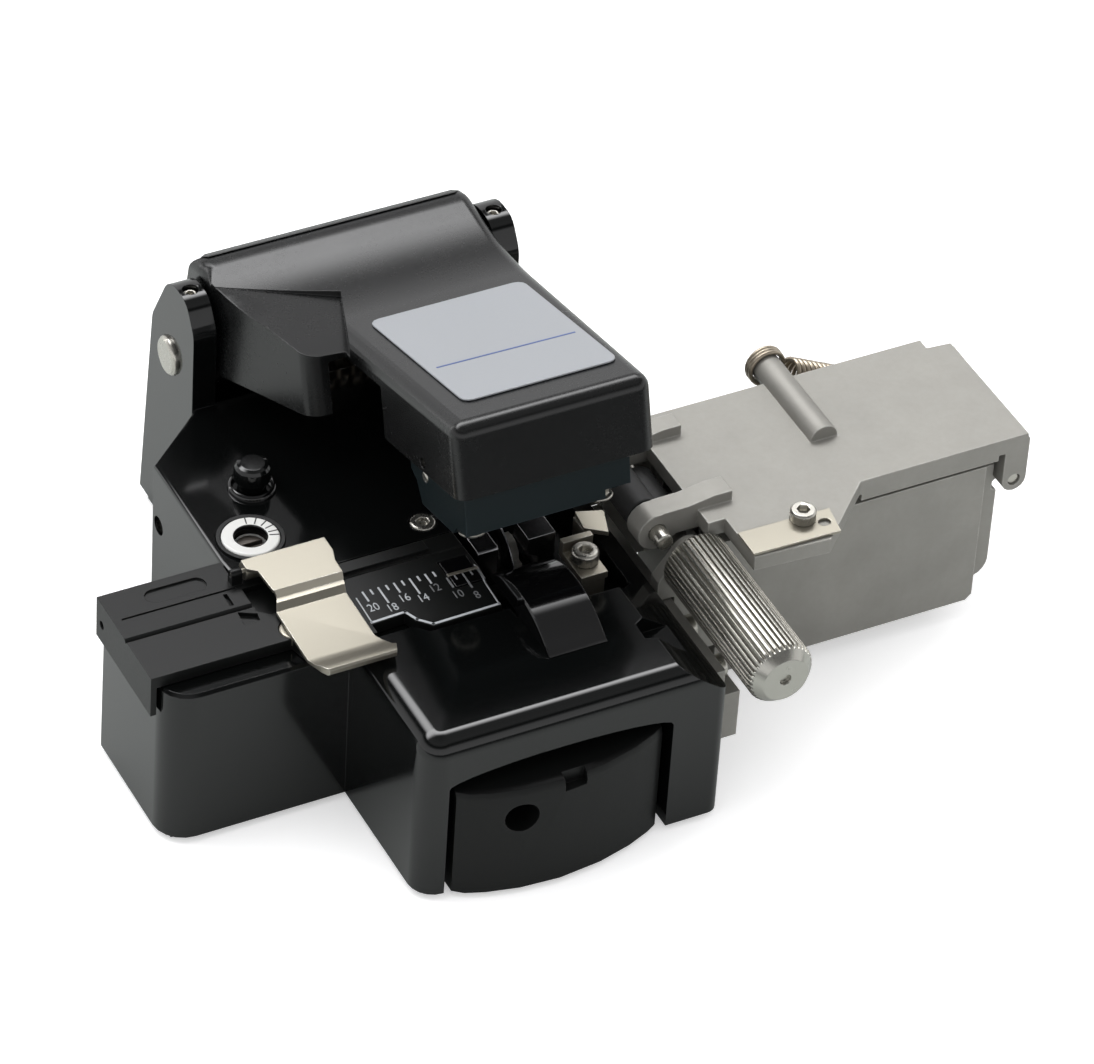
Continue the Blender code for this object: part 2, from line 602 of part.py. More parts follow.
def build_arm_shell():
    profile = [(-2.1, 28.8), (-2.0, 35.0), (-1.35, 36.65), (0.3, ARM_TOP), (40.0, ARM_TOP),
               (50.2, 41.6), (51.6, 41.7), (53.4, 40.6), (58.0, 30.6), (58.3, 28.0),
               *arc(HINGE_Y, HINGE_Z, 4.9, -20, -180, 7),
               (46.4, 27.6), (29.2, 27.3), (26.0, 28.5), (11.3, 27.4), (0.3, 27.3)]
    shell = settle(outline(profile, 'x', 3.0, 42.0), "arm_shell", SATIN_BLACK, arm_axis)
    plan = rounded([(13.3, -3.0), (39.5, -3.0), (41.3, 37.0), (41.25, 60.0), (3.95, 60.0),
                    (4.0, 50.0), (8.4, 28.8), (13.6, 28.8)],
                   [2.0, 2.0, 3.0, 0, 0, 3.0, 1.2, 0], 3)
    boolean(shell, outline(plan, 'z', 15.0, 50.0), "arm_plan", 'INTERSECT')
    trim_arm_top(shell)
    cut(shell, box((14.75, -0.5, 22.0), (37.55, 17.2, 34.4)),       # well for the clamp head
        box((11.2, 19.0, 22.0), (37.4, 45.6, 34.4)),                # hollow behind it
        box((15.4, 44.5, 22.0), (29.6, 62.0, 36.0)),                # gap between the hinge lugs
        bar('x', HINGE, 0.0, 46.0, HINGE_PIN_R + 0.06, 32),
        bar('x', HEAD_PIN, 13.0, 42.0, 0.72, 16))


def build_arm_fittings():
    plate = rounded([(17.5, 3.5), (38.0, 3.5), (38.4, 30.5), (17.6, 30.5)], 1.3, 3)
    settle(outline(plate, 'z', ARM_TOP + 0.03, ARM_TOP + 0.3), "arm_label", LABEL, arm_axis)
    turned("head_pin", [(0, 0), (0.5, 0), (0.7, -0.2), (0.7, -24.9), (0.5, -25.1), (0, -25.1)],
           spot('x', HEAD_PIN, 13.9), STEEL, LEFT, arm_axis, 16)


# ------------------------------------------------------------------ clamp head (level)
HEAD_SIDE_PIN = 11.6, 30.8                  # (y, z)
CAP_NUTS = {"left": (17.6, 4.45), "right": (34.5, 4.45)}        # (x, y)


def build_clamp_head():
    pin_z = pin_closed.z
    section = [(0.6, 27.7), (0.6, 37.0), (1.5, pin_z + 3.3), (14.8, pin_z + 3.3), (15.6, 37.0),
               (15.6, 30.2), (14.2, 29.3), (12.9, 26.5), (4.4, 26.5), (3.4, 27.7)]
    head = settle(outline(section, 'x', 15.1, 37.0), "clamp_head", BLUE_GREY, head_axis)
    cut(head, box((16.2, 2.6, 24.0), (35.9, 13.6, 29.6)),
        box((33.6, -1.0, 24.0), (38.0, 2.7, 28.9)),
        bar('x', (pin_closed.y, pin_z), 12.0, 40.0, 0.76, 16),
        bar('x', HEAD_SIDE_PIN, 14.0, 17.4, 0.83, 12),
        *(bar('z', at, 28.0, 33.4, 0.85, 12) for at in CAP_NUTS.values()))


def build_head_fittings():
    turned("head_side_pin", [(0, 0), (0.6, 0), (0.8, -0.2), (0.8, -2.2), (0, -2.2)],
           spot('x', HEAD_SIDE_PIN, 14.95), STEEL, LEFT, head_axis, 12)
    nut_profile = [(0, 33.2), (0.8, 33.2), (0.8, 29.5), (0.9, 26.45), (1.7, 26.4), (1.8, 26.2),
                   (1.6, 25.9), (0.9, 25.62), (0, 25.55)]
    for side, at in CAP_NUTS.items():
        nut = turned(f"cap_nut_{side}", nut_profile, (*at, 0.0), STEEL, UP, head_axis, 18)
        add(nut, bar('z', at, 26.3, 29.4, 1.3, 6))
    pad = [(8.5, 29.4), (8.5, 26.2), (9.0, 25.5), (11.6, 25.5), (12.2, 26.2), (12.2, 29.4)]
    anvil = [(8.9, 29.4), (8.9, 26.6), (9.6, 25.9), (11.2, 25.9), (11.9, 26.6), (11.9, 29.4)]
    for name, section, left, right in (("upper_pad_left", pad, 21.2, 23.5),
                                       ("upper_pad_right", pad, 28.1, 31.2),
                                       ("anvil", anvil, 24.5, 27.1)):
        settle(outline(section, 'x', left, right), name, RUBBER, head_axis)


# ------------------------------------------------------------------ slider
def build_carriage():
    solid = box((9.6, 0.0, 3.2), (29.4, 28.0, 15.6))
    bevel(solid, 0.4, 1, lambda mid, along: mid.z > 15)
    carriage = settle(solid, "slider_carriage", CAST_GREY, slider_axis)
    yoke_cheek = [(10.7, 14.0), (16.7, 14.0), (16.7, 19.2), *arc(BLADE_Y, 19.2, 2.2, 0, 180, 6),
                  (10.7, 19.2)]
    add(carriage, outline(yoke_cheek, 'x', 26.9, 28.4))
    rail_groove = [(18.5, 2.0), (26.5, 2.0), (26.5, 3.45), (25.55, 4.1), (27.1, 4.92),
                   (27.1, 5.72), (17.9, 5.72), (17.9, 4.92), (19.45, 4.1), (18.5, 3.45)]
    cut(carriage, outline(rail_groove, 'y', -2.0, 30.0),
        box((24.3, 6.6, 11.8), (26.9, 20.8, 17.0)),                 # blade slot
        bar('x', BLADE, 24.0, 30.0, 1.25, 20),
        bar('y', PULL_SCREW, -2.0, 6.6, 1.12, 12))


def build_pull():
    """Finger pull at the slider's front, with the tongue that joins it to the carriage."""
    top = 16.9
    plan = [(4.3, -20.9), (5.6, -21.9), (8.0, -22.75), (12.1, -23.65), (17.3, -24.0),
            (23.0, -23.4), (27.5, -22.25), (30.6, -21.0), (32.0, -20.2),
            (32.0, -13.2), (4.3, -13.2)]
    solid = outline(plan, 'z', 0.9, top)
    bevel(solid, 1.1, 2, lambda mid, along: mid.z > top - 0.1 and mid.y < -19.5)
    pull = settle(solid, "slider_pull", BLACK_PLASTIC, slider_axis)
    add(pull, box((8.6, -13.4, 6.1), (29.0, -0.3, 14.6)))
    cut(pull, box((17.2, -26.0, 14.9), (20.2, -22.6, 18.0)),
        bar('y', PULL_SCREW, -26.0, -9.0, 2.15, 20),
        bar('y', PULL_SCREW, -10.0, 1.0, 1.2, 12))
    socket_screw("pull_screw", spot('y', PULL_SCREW, -11.6), FRONT, head_r=2.0, head_h=2.2,
                 shank_r=1.05, length=14.8, parent=slider_axis)


def build_blade():
    turned("blade_wheel",
           [(1.24, 0.45), (5.2, 0.45), (BLADE_R, 0.06), (BLADE_R, -0.06), (5.2, -0.45),
            (1.24, -0.45), (1.24, 0.45)],
           spot('x', BLADE, BLADE_X), HARD_STEEL, RIGHT, blade_axis, 32)
    shaft = turned("blade_shaft",
                   [(0, 0), (2.0, 0), (2.0, -0.7), (1.18, -0.7), (1.18, -4.2), (0, -4.2)],
                   spot('x', BLADE, 24.6), STEEL, LEFT, blade_axis, 20)
    # slot across the shaft's head
    cut(shaft, box((24.3, BLADE_Y - 2.5, BLADE_Z - 0.25), (24.9, BLADE_Y + 2.5, BLADE_Z + 0.25)))


# ------------------------------------------------------------------ fibre adapter and its lid
MAGNET = -5.2, 4.6                          # (x, y)


def cut_adapter_top(adapter):
    """Fibre groove, step line, wells and seats in the adapter's top face."""
    for half_width, floor, left, right in ((0.7, 24.7, -26.0, 4.1), (0.3, 25.0, 3.9, 21.0)):
        groove = [(FIBRE_Y - half_width, 25.6), (FIBRE_Y + half_width, 25.6), (FIBRE_Y, floor)]
        cut(adapter, outline(groove, 'x', left, right))
    cut(adapter, box((-23.4, 13.9, 25.0), (-8.6, 14.2, 26.0)))      # step line
    wells = (       # floor height, plan
        (24.9, rounded([(-19.3, 15.2), (-11.4, 15.2), (-11.4, 17.7), (-19.3, 17.7)], 1.2, 4)),
        (24.6, [(-10.4, 7.5), (-8.3, 7.6), (-8.1, 8.8), (-10.2, 9.9)]),
        (24.6, [(-10.5, 11.3), (-10.0, 11.3), (-10.0, 13.5), (-10.5, 13.5)]),
        (24.2, [(-8.0, 9.2), (-6.6, 8.0), (-4.0, 8.0), (-4.0, 13.6), (-8.0, 13.6)]),
    )
    for floor, plan in wells:
        cut(adapter, outline(plan, 'z', floor, 26.0))
    cut(adapter, bar('z', MAGNET, 24.0, 26.0, 1.95, 20),
        bar('x', (17.4, 22.0), -25.0, -23.0, 0.6, 12),              # hole in the left skirt
        box((15.6, 3.6, 24.9), (19.6, 8.8, 26.0)))                  # ruler strip seat


def build_adapter():
    plan = [(-24.0, 3.0), (-6.2, 3.0), (-5.4, 0.1), (3.6, 0.1), (3.6, 1.6), (8.1, 1.9),
            (8.7, 0.2), (10.3, -1.5), (19.4, -1.3), (19.6, 3.1), (20.0, 5.9), (19.8, 13.2),
            (3.8, 13.2), (3.8, 16.0), (-8.3, 16.0), (-8.3, 19.0), (-24.0, 19.0)]
    adapter = settle(outline(plan, 'z', 23.55, 25.2), "fibre_adapter", BLACK_PLASTIC)
    skirt = [(3.0, 25.2), (19.0, 25.2), (19.0, 19.3), (3.0, 19.3)]
    add(adapter, outline(skirt, 'x', -24.5, -23.75),
        box((4.2, 10.9, 24.5), (15.5, 12.6, 25.75)))                # rib behind the fibre line
    knuckle = [(14.4, 24.6), (15.6, 24.6), (15.6, LID_Z),
               *arc(LID_Y, LID_Z, 0.6, 0, 180, 6)[1:], (14.4, LID_Z)]
    for left, right in ((-8.9, -7.5), (2.95, 3.75)):
        add(adapter, outline(knuckle, 'x', left, right))
    cut(adapter, bar('x', LID, -9.6, 5.0, 0.42, 12))
    cut_adapter_top(adapter)
    turned("adapter_magnet", [(0, 25.25), (1.7, 25.25), (1.9, 25.05), (1.9, 24.05), (0, 24.05)],
           (*MAGNET, 0.0), NICKEL)
    settle(box((15.8, 3.8, 24.95), (19.4, 8.6, 25.3)), "ruler_strip", NICKEL)


def build_clamp_lid():
    """One bent sheet: rear plate over the barrel, two-step fold, front plate, raised lip."""
    sheet = 0.45
    fold = [(LID_Y + 0.7, 27.3), (9.2, 27.25), (8.75, 26.3), (8.1, 26.2), (7.3, 25.5),
            (-1.9, 25.5)]
    lip = [(-3.2, 25.7), (-4.0, 25.8), (-5.2, 25.8), (-5.4, 26.0), (-5.4, 26.6), (-5.2, 26.8),
           (-4.2, 26.75), (-3.3, 26.2)]
    section = fold + lip + [(y, z + sheet) for y, z in reversed(fold)]
    lid = settle(outline(section, 'x', -7.6, 4.4), "clamp_lid", NICKEL, lid_axis)
    plan = [(-7.2, 17.0), (-7.2, 14.0), (-6.1, 13.2), (-5.9, 9.4), (-5.6, 8.9), (-6.3, 7.3),
            (-6.5, -1.9), (-5.9, -4.3), (-4.9, -6.0), (3.3, -6.0), (4.1, -3.9), (2.7, -1.0),
            (2.85, 7.3), (3.2, 8.9), (3.25, 11.4), (3.8, 13.2), (3.8, 17.0)]
    boolean(lid, outline(plan, 'z', 24.0, 29.0), "lid_plan", 'INTERSECT')
    add(lid, bar('x', LID, -7.2, 2.65, 1.12, 20))
    cut(lid, bar('x', LID, -9.0, 5.0, 0.42, 12))
    turned("lid_pin", [(0, 0), (0.39, 0), (0.39, -12.4), (0, -12.4)],
           spot('x', LID, -8.8), STEEL, LEFT, steps=12)


# ------------------------------------------------------------------ dial and release button
def build_dial():
    bezel = settle(bar('z', DIAL, 22.6, 25.35, 4.2, 32), "dial_bezel", BLACK_PLASTIC)
    cut(bezel, bar('z', DIAL, 22.0, 26.0, 3.72, 32))
    turned("height_dial",
           [(2.1, 25.5), (3.45, 25.5), (3.62, 25.3), (3.62, 21.2), (1.1, 21.2), (1.1, 22.6),
            (2.1, 22.8), (2.1, 25.5)],
           (*DIAL, 0.0), DIAL_WHITE, UP, dial_axis, 32)
    screw = turned("dial_screw",
                   [(0, 24.1), (1.75, 24.1), (1.9, 23.9), (1.9, 22.95), (1.0, 22.75),
                    (1.0, 21.3), (0, 21.3)],
                   (*DIAL, 0.0), STEEL, UP, dial_axis, 16)
    x, y = DIAL
    cut(screw, box((x - 2.5, y - 0.3, 23.5), (x + 2.5, y + 0.3, 24.7)))


def build_release_button():
    turned("release_button",
           [(0, 28.4), (0.9, 28.25), (1.5, 27.8), (1.75, 27.1), (2.6, 27.0), (2.75, 26.8),
            (2.75, 26.6), (1.68, 26.6), (1.68, 20.6), (0, 20.6)],
           (*BUTTON, 0.0), BLACK_PLASTIC, UP, button_axis, 20)


# ------------------------------------------------------------------ collector bracket and box
def build_collector_bracket():
    bracket = settle(box((40.7, -15.0, 6.5), (43.1, 18.6, 17.7)), "collector_bracket",
                     CAST_GREY)
    add(bracket, box((42.8, -15.0, 6.5), (45.4, -1.3, 13.6)))
    for i, at in enumerate(BRACKET_SCREWS):
        cut(bracket, bar('x', at, 40.0, 44.0, 0.95, 12))
        socket_screw(f"bracket_screw_{i + 1}", spot('x', at, 44.5), RIGHT, head_r=1.5,
                     head_h=1.35, shank_r=0.85, length=5.6, steps=14)


def build_collector_box():
    solid = box((49.8, -0.9, 3.0), (86.5, 19.8, 24.6))
    bevel(solid, 0.8, 1, lambda mid, along: abs(along.y) > 0.99 and mid.z < 4)
    tub = settle(solid, "collector_box", CAST_GREY)
    flange = [(84.0, 5.4), (86.6, 5.4), *arc(86.6, 7.9, 2.5, -75, 0, 4), (89.1, 19.0),
              (88.4, 19.4), (88.4, 23.4), (84.0, 23.4)]
    roller_cheek = [(43.4, 8.0), (51.0, 8.0), (51.0, 23.4), (48.5, 23.4),
                    *arc(DRIVE_X, DRIVE_Z, 2.2, 20, 160, 6),
                    (41.0, 21.0), (41.0, 18.0), (43.4, 18.0)]
    hinge_lug = [(87.0, 16.6), (90.6, 19.7), *arc(*COVER_HINGE, 1.7, -85, 85, 6), (87.0, 23.0)]
    for section, front, back in ((flange, 0.4, 18.8),
                                 (roller_cheek, -0.9, 1.0), (roller_cheek, 18.3, 19.8),
                                 (hinge_lug, 2.1, 5.1), (hinge_lug, 12.3, 15.3)):
        add(tub, outline(section, 'y', front, back))
    entry = [(5.4, 20.6), (15.0, 20.6), (15.0, 26.0), (5.4, 26.0)]  # opening in the left wall
    cut(tub, box((51.4, 0.8, 4.6), (84.9, 18.2, 26.0)),
        outline(entry, 'x', 49.0, 52.0),
        bar('y', DRIVE, -2.0, 21.0, 1.25, 20),
        bar('y', COVER_HINGE, 1.0, 17.0, 0.82, 16),
        bar('y', SPRING_PEG, 17.0, 21.0, 0.92, 12))


def build_box_pins():
    turned("cover_hinge_pin", [(0, 0), (0.8, 0), (0.8, -18.6), (0, -18.6)],
           spot('y', COVER_HINGE, -0.9), STEEL, FRONT, steps=16)
    turned("spring_peg",
           [(0, 0), (0.9, 0), (0.9, -1.0), (0.7, -1.1), (0.7, -1.9), (0.9, -2.0), (0.9, -6.8),
            (0, -6.8)],
           spot('y', SPRING_PEG, 24.0), STEEL, BACK, steps=12)


# ------------------------------------------------------------------ collector cover
def build_cover():
    plan = [(47.3, 20.2), (47.3, -0.9), (49.6, -0.9), (49.6, -8.6), (59.7, -9.3), (68.2, -1.2),
            (91.9, -1.2), (91.6, 18.2), (88.3, 18.5), (88.3, 20.2)]
    cover = settle(outline(plan, 'z', 26.2, COVER_TOP), "collector_cover", CAST_GREY,
                   cover_axis)
    # front skirt, then the hollow rim that drops into the box
    add(cover, box((68.5, -1.2, 25.2), (87.9, 0.4, 27.0)),
        box((53.0, 1.2, 23.8), (84.3, 17.8, 27.0)))
    cut(cover, box((54.2, 2.4, 23.0), (83.1, 16.6, 26.2)))
    hinge_boss = [(86.5, 26.2), (88.8, 26.0), (88.8, 21.4),
                  *arc(*COVER_HINGE, 1.7, 180, 360, 8)[1:],
                  (92.2, 27.6), (91.4, COVER_TOP), (86.5, COVER_TOP)]
    roller_finger = [(52.0, 25.6), (52.0, 29.9), (49.6, 29.9), (46.0, 29.3), (42.6, 29.25),
                     *arc(*PINCH, 2.6, 80, 290, 10), (44.6, 25.6)]
    for section, front, back in ((hinge_boss, -1.2, 1.8), (hinge_boss, 15.6, 18.2),
                                 (roller_finger, 1.9, 5.0), (roller_finger, 15.4, 18.0)):
        add(cover, outline(section, 'y', front, back))
    add(cover, bar('y', SPRING_POST, 7.8, 24.3, 1.9, 20))
    cut(cover, bar('y', PINCH, 0.0, 20.0, 1.2, 16),
        bar('y', COVER_HINGE, -2.5, 20.0, 0.86, 16),
        bar('z', LEAF_SCREW, 25.0, 30.0, 0.95, 12))


def build_leaf_spring():
    plan = [(49.5, -8.5), (61.3, -8.8), (62.0, -4.4), (49.5, -4.2)]
    leaf = settle(outline(plan, 'z', 28.45, 28.85), "leaf_spring", NICKEL, cover_axis)
    window = rounded([(59.4, -7.2), (61.0, -7.2), (61.0, -5.9), (59.4, -5.9)], 0.6, 2)
    cut(leaf, bar('z', LEAF_SCREW, 28.0, 30.0, 0.95, 12), outline(window, 'z', 28.0, 30.0))
    socket_screw("leaf_screw", (*LEAF_SCREW, 30.4), UP, head_r=1.65, head_h=1.5, shank_r=0.85,
                 length=3.6, parent=cover_axis)


def build_cover_spring():
    """Extension spring that holds the cover down: a hook, the coil and a second hook."""
    start, end = Vector(spot('y', SPRING_POST, 22.7)), Vector(spot('y', SPRING_PEG, 22.5))
    start_hook_r, end_hook_r, coil_r, gap = 2.5, 1.35, 1.6, 1.5
    turns, steps = 14, 140
    run = (end - start).normalized()
    up = Vector((0, 1, 0)).cross(run).normalized()
    across = run.cross(up)
    length = (end - start).length
    coil_start, coil_end = start_hook_r + gap, length - end_hook_r - gap
    path = []
    for k in range(11):
        angle = math.radians(320 - 320 * k / 10)
        path.append(start + (run * math.cos(angle) + up * math.sin(angle)) * start_hook_r)
    for k in range(steps + 1):
        angle = 2 * math.pi * turns * k / steps
        centre = start.lerp(end, (coil_start + (coil_end - coil_start) * k / steps) / length)
        path.append(centre + (up * math.cos(angle) + across * math.sin(angle)) * coil_r)
    for k in range(9):
        angle = math.radians(180 + 300 * k / 8)
        path.append(end + (run * math.cos(angle) + up * math.sin(angle)) * end_hook_r)
    wire("cover_spring", path, 0.32)


# ------------------------------------------------------------------ feed rollers and knob
def build_roller(name, bore_r, shoulder_r, radius, half, at, parent):
    """A rubber tyre with chamfered rims, centred on a point."""
    turned(name,
           [(bore_r, half), (shoulder_r, half), (radius, half - 0.2), (radius, 0.2 - half),
            (shoulder_r, -half), (bore_r, -half), (bore_r, half)],
           at, RUBBER, FRONT, parent, 24)


def build_knob():
    count = 30
    # angle from the flute's centre in degrees, radius
    flute = (-3.6, KNOB_R), (3.6, KNOB_R), (6.0, KNOB_R - 0.35)
    section = []
    for k in range(count):
        for offset, radius in flute:
            angle = math.radians(360.0 / count * k + offset)
            section.append((DRIVE_X + radius * math.cos(angle),
                            DRIVE_Z + radius * math.sin(angle)))
    knob = settle(outline(section, 'y', -23.9, -1.3), "roller_knob", STEEL, drive_axis)
    # tapered front end
    add(knob, rod(spot('y', DRIVE, -23.7), spot('y', DRIVE, -25.0), 4.0, 24, end_radius=3.05))
    cut(knob, bar('y', DRIVE, -5.4, 0.0, 1.22, 20), bar('y', DRIVE, -26.0, -24.6, 0.75, 12))


def build_feed():
    build_roller("drive_roller", bore_r=1.22, shoulder_r=2.2, radius=DRIVE_R, half=4.8,
                 at=spot('y', DRIVE, 10.1), parent=drive_axis)
    turned("drive_shaft", [(0, 0), (1.0, 0), (1.2, -0.2), (1.2, -25.2), (1.0, -25.4), (0, -25.4)],
           spot('y', DRIVE, -5.2), STEEL, FRONT, drive_axis)
    build_knob()
    build_roller("pinch_roller", bore_r=1.17, shoulder_r=2.05, radius=PINCH_R, half=4.7,
                 at=spot('y', PINCH, 10.2), parent=pinch_axis)
    turned("pinch_shaft", [(0, 0), (1.0, 0), (1.15, -0.15), (1.15, -18.6), (0, -18.6)],
           spot('y', PINCH, -0.3), STEEL, FRONT, pinch_axis)


for build in (build_body, build_bottom, build_guide_rail, build_lower_clamps,
              build_clamp_bracket, build_body_screws, build_hinge, build_blade_guard,
              build_arm_shell, build_arm_fittings, build_clamp_head, build_head_fittings,
              build_carriage, build_pull, build_blade, build_adapter, build_clamp_lid,
              build_dial, build_release_button, build_collector_bracket, build_collector_box,
              build_box_pins, build_cover, build_leaf_spring, build_cover_spring, build_feed):
    build()
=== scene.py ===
"""Look of an optical fibre cleaver: materials, fine surface, printed ruler, floor, light and camera.

The tool stands on the floor with +Z up, its front towards -Y and its left towards -X.
Shapes are drawn in millimetres from a datum corner of the tool and then moved to the
model's origin in metres. Materials, modifiers, floor and lights are given in metres.
"""
import json
import math

import bmesh
import bpy
from mathutils import Matrix, Vector


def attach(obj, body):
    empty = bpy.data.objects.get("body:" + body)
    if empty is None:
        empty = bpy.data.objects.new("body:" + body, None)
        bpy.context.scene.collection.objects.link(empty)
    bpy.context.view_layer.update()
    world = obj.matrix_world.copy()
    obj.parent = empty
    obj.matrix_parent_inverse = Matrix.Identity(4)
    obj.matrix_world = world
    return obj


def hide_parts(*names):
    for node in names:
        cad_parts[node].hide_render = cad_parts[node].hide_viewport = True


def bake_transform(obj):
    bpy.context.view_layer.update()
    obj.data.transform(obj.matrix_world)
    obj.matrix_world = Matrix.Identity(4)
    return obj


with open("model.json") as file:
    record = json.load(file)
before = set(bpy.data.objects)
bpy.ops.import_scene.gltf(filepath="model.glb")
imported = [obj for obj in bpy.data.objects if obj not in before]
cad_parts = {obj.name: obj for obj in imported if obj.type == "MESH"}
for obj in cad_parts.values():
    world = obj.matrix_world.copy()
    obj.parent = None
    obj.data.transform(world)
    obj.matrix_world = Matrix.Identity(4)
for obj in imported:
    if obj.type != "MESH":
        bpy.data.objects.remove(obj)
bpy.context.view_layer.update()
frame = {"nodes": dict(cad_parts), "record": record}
NODES = frame["nodes"]
MM = 0.001
ORIGIN_X, ORIGIN_Y = 25.8, 10.4     # the model's origin, measured from the datum corner
TO_MODEL = Matrix.Scale(MM, 4) @ Matrix.Translation((-ORIGIN_X, -ORIGIN_Y, 0.0))


def to_model(x, y, z):
    """A point in datum millimetres, given in model metres."""
    return Vector(((x - ORIGIN_X) * MM, (y - ORIGIN_Y) * MM, z * MM))


# ------------------------------------------------------------------ shader nodes
def feed(tree, socket, value):
    """Links an input to another node's output, or sets it to a plain value."""
    if isinstance(value, bpy.types.NodeSocket):
        tree.links.new(value, socket)
    else:
        socket.default_value = value


def add_node(tree, kind, inputs=None, **settings):
    node = tree.nodes.new(kind)
    for key, value in settings.items():
        setattr(node, key, value)
    for key, value in (inputs or {}).items():
        feed(tree, node.inputs[key], value)
    return node


def calc(tree, operation, *values, clamp=False):
    inputs = dict(enumerate(values))
    return add_node(tree, "ShaderNodeMath", inputs, operation=operation, use_clamp=clamp).outputs[0]


def mix_colour(tree, factor, low, high):
    inputs = {0: factor, 6: low, 7: high}
    return add_node(tree, "ShaderNodeMix", inputs, data_type='RGBA').outputs[2]


def mix_value(tree, factor, low, high):
    inputs = {0: factor, 2: low, 3: high}
    return add_node(tree, "ShaderNodeMix", inputs, data_type='FLOAT').outputs[0]


def add_ramp(tree, factor, stops, blue=1.0):
    """A grey ramp of (position, brightness) stops; blue scales its blue channel."""
    node = add_node(tree, "ShaderNodeValToRGB", {0: factor})
    elements = node.color_ramp.elements
    while len(elements) < len(stops):
        elements.new(0.5)
    for element, (position, grey) in zip(elements, stops):
        element.position = position
        element.color = (grey, grey, grey * blue, 1)
    return node.outputs[0]


def add_noise(tree, scale, detail, rough, stretch=None):
    vector = add_node(tree, "ShaderNodeTexCoord").outputs["Object"]
    if stretch:
        vector = add_node(tree, "ShaderNodeMapping", {"Scale": stretch, 0: vector}).outputs[0]
    inputs = {"Scale": scale, "Detail": detail, "Roughness": rough, "Vector": vector}
    return add_node(tree, "ShaderNodeTexNoise", inputs).outputs["Fac"]


def add_bevel(tree, radius):
    return add_node(tree, "ShaderNodeBevel", {"Radius": radius}, samples=4).outputs[0]


def edge_mask(tree, radius):
    """1 on sharp edges, 0 on flats: where the rounded normal leaves the true one."""
    rounded = add_bevel(tree, radius)
    true_normal = add_node(tree, "ShaderNodeNewGeometry").outputs["Normal"]
    dot = add_node(tree, "ShaderNodeVectorMath", {0: rounded, 1: true_normal},
                   operation='DOT_PRODUCT')
    return add_ramp(tree, dot.outputs["Value"], [(0.80, 1.0), (0.955, 0.0)])


def new_material(name):
    made = bpy.data.materials.new(name)
    made.use_nodes = True
    return made, made.node_tree, made.node_tree.nodes["Principled BSDF"]


# ------------------------------------------------------------------ materials
def material(name, *, base, rough, fine, bump, var, tint, metallic=0.0, spec=0.5, broad=45.0,
             stretch=None, edge=None, edge_col=None, edge_rough=None):
    """A slightly uneven surface.

    base, rough, metallic, spec: colour, roughness, metalness and specular level
    fine, stretch: scale of the fine grain, and its stretch along the axes
    broad: scale of the broad patches
    bump: strength of the grain's relief
    var, tint: how far the roughness and the colour wander
    edge, edge_col, edge_rough: radius, colour and roughness of the wear on edges
    """
    made, tree, shader = new_material(name)
    grain = add_noise(tree, fine, detail=3, rough=0.6, stretch=stretch)
    patches = add_noise(tree, broad, detail=5, rough=0.55)

    grain_rough = calc(tree, 'MULTIPLY_ADD', grain, var, rough - var / 2)
    patch_rough = calc(tree, 'MULTIPLY', calc(tree, 'SUBTRACT', patches, 0.5), var * 1.2)
    roughness = calc(tree, 'ADD', grain_rough, patch_rough, clamp=True)
    colour = mix_colour(tree, patches, (*[c * (1 - tint) for c in base], 1),
                        (*[min(1, c * (1 + tint)) for c in base], 1))
    if edge:
        mask = edge_mask(tree, edge)
        broken = add_ramp(tree, add_noise(tree, 260.0, detail=4, rough=0.7),
                          [(0.36, 0.0), (0.64, 1.0)])
        wear = calc(tree, 'MULTIPLY', mask, broken)
        worn = edge_col or [min(1, c * 1.9 + 0.01) for c in base]
        colour = mix_colour(tree, wear, colour, (*worn, 1))
        if edge_rough is not None:
            roughness = mix_value(tree, wear, roughness, edge_rough)

    relief = add_node(tree, "ShaderNodeBump", {
        "Strength": bump, "Distance": 0.00002, "Height": grain,
        "Normal": add_bevel(tree, 0.00012)})
    for key, value in {"Metallic": metallic, "Specular IOR Level": spec, "Coat Roughness": 0.12,
                       "Base Color": colour, "Roughness": roughness,
                       "Normal": relief.outputs[0]}.items():
        feed(tree, shader.inputs[key], value)
    return made


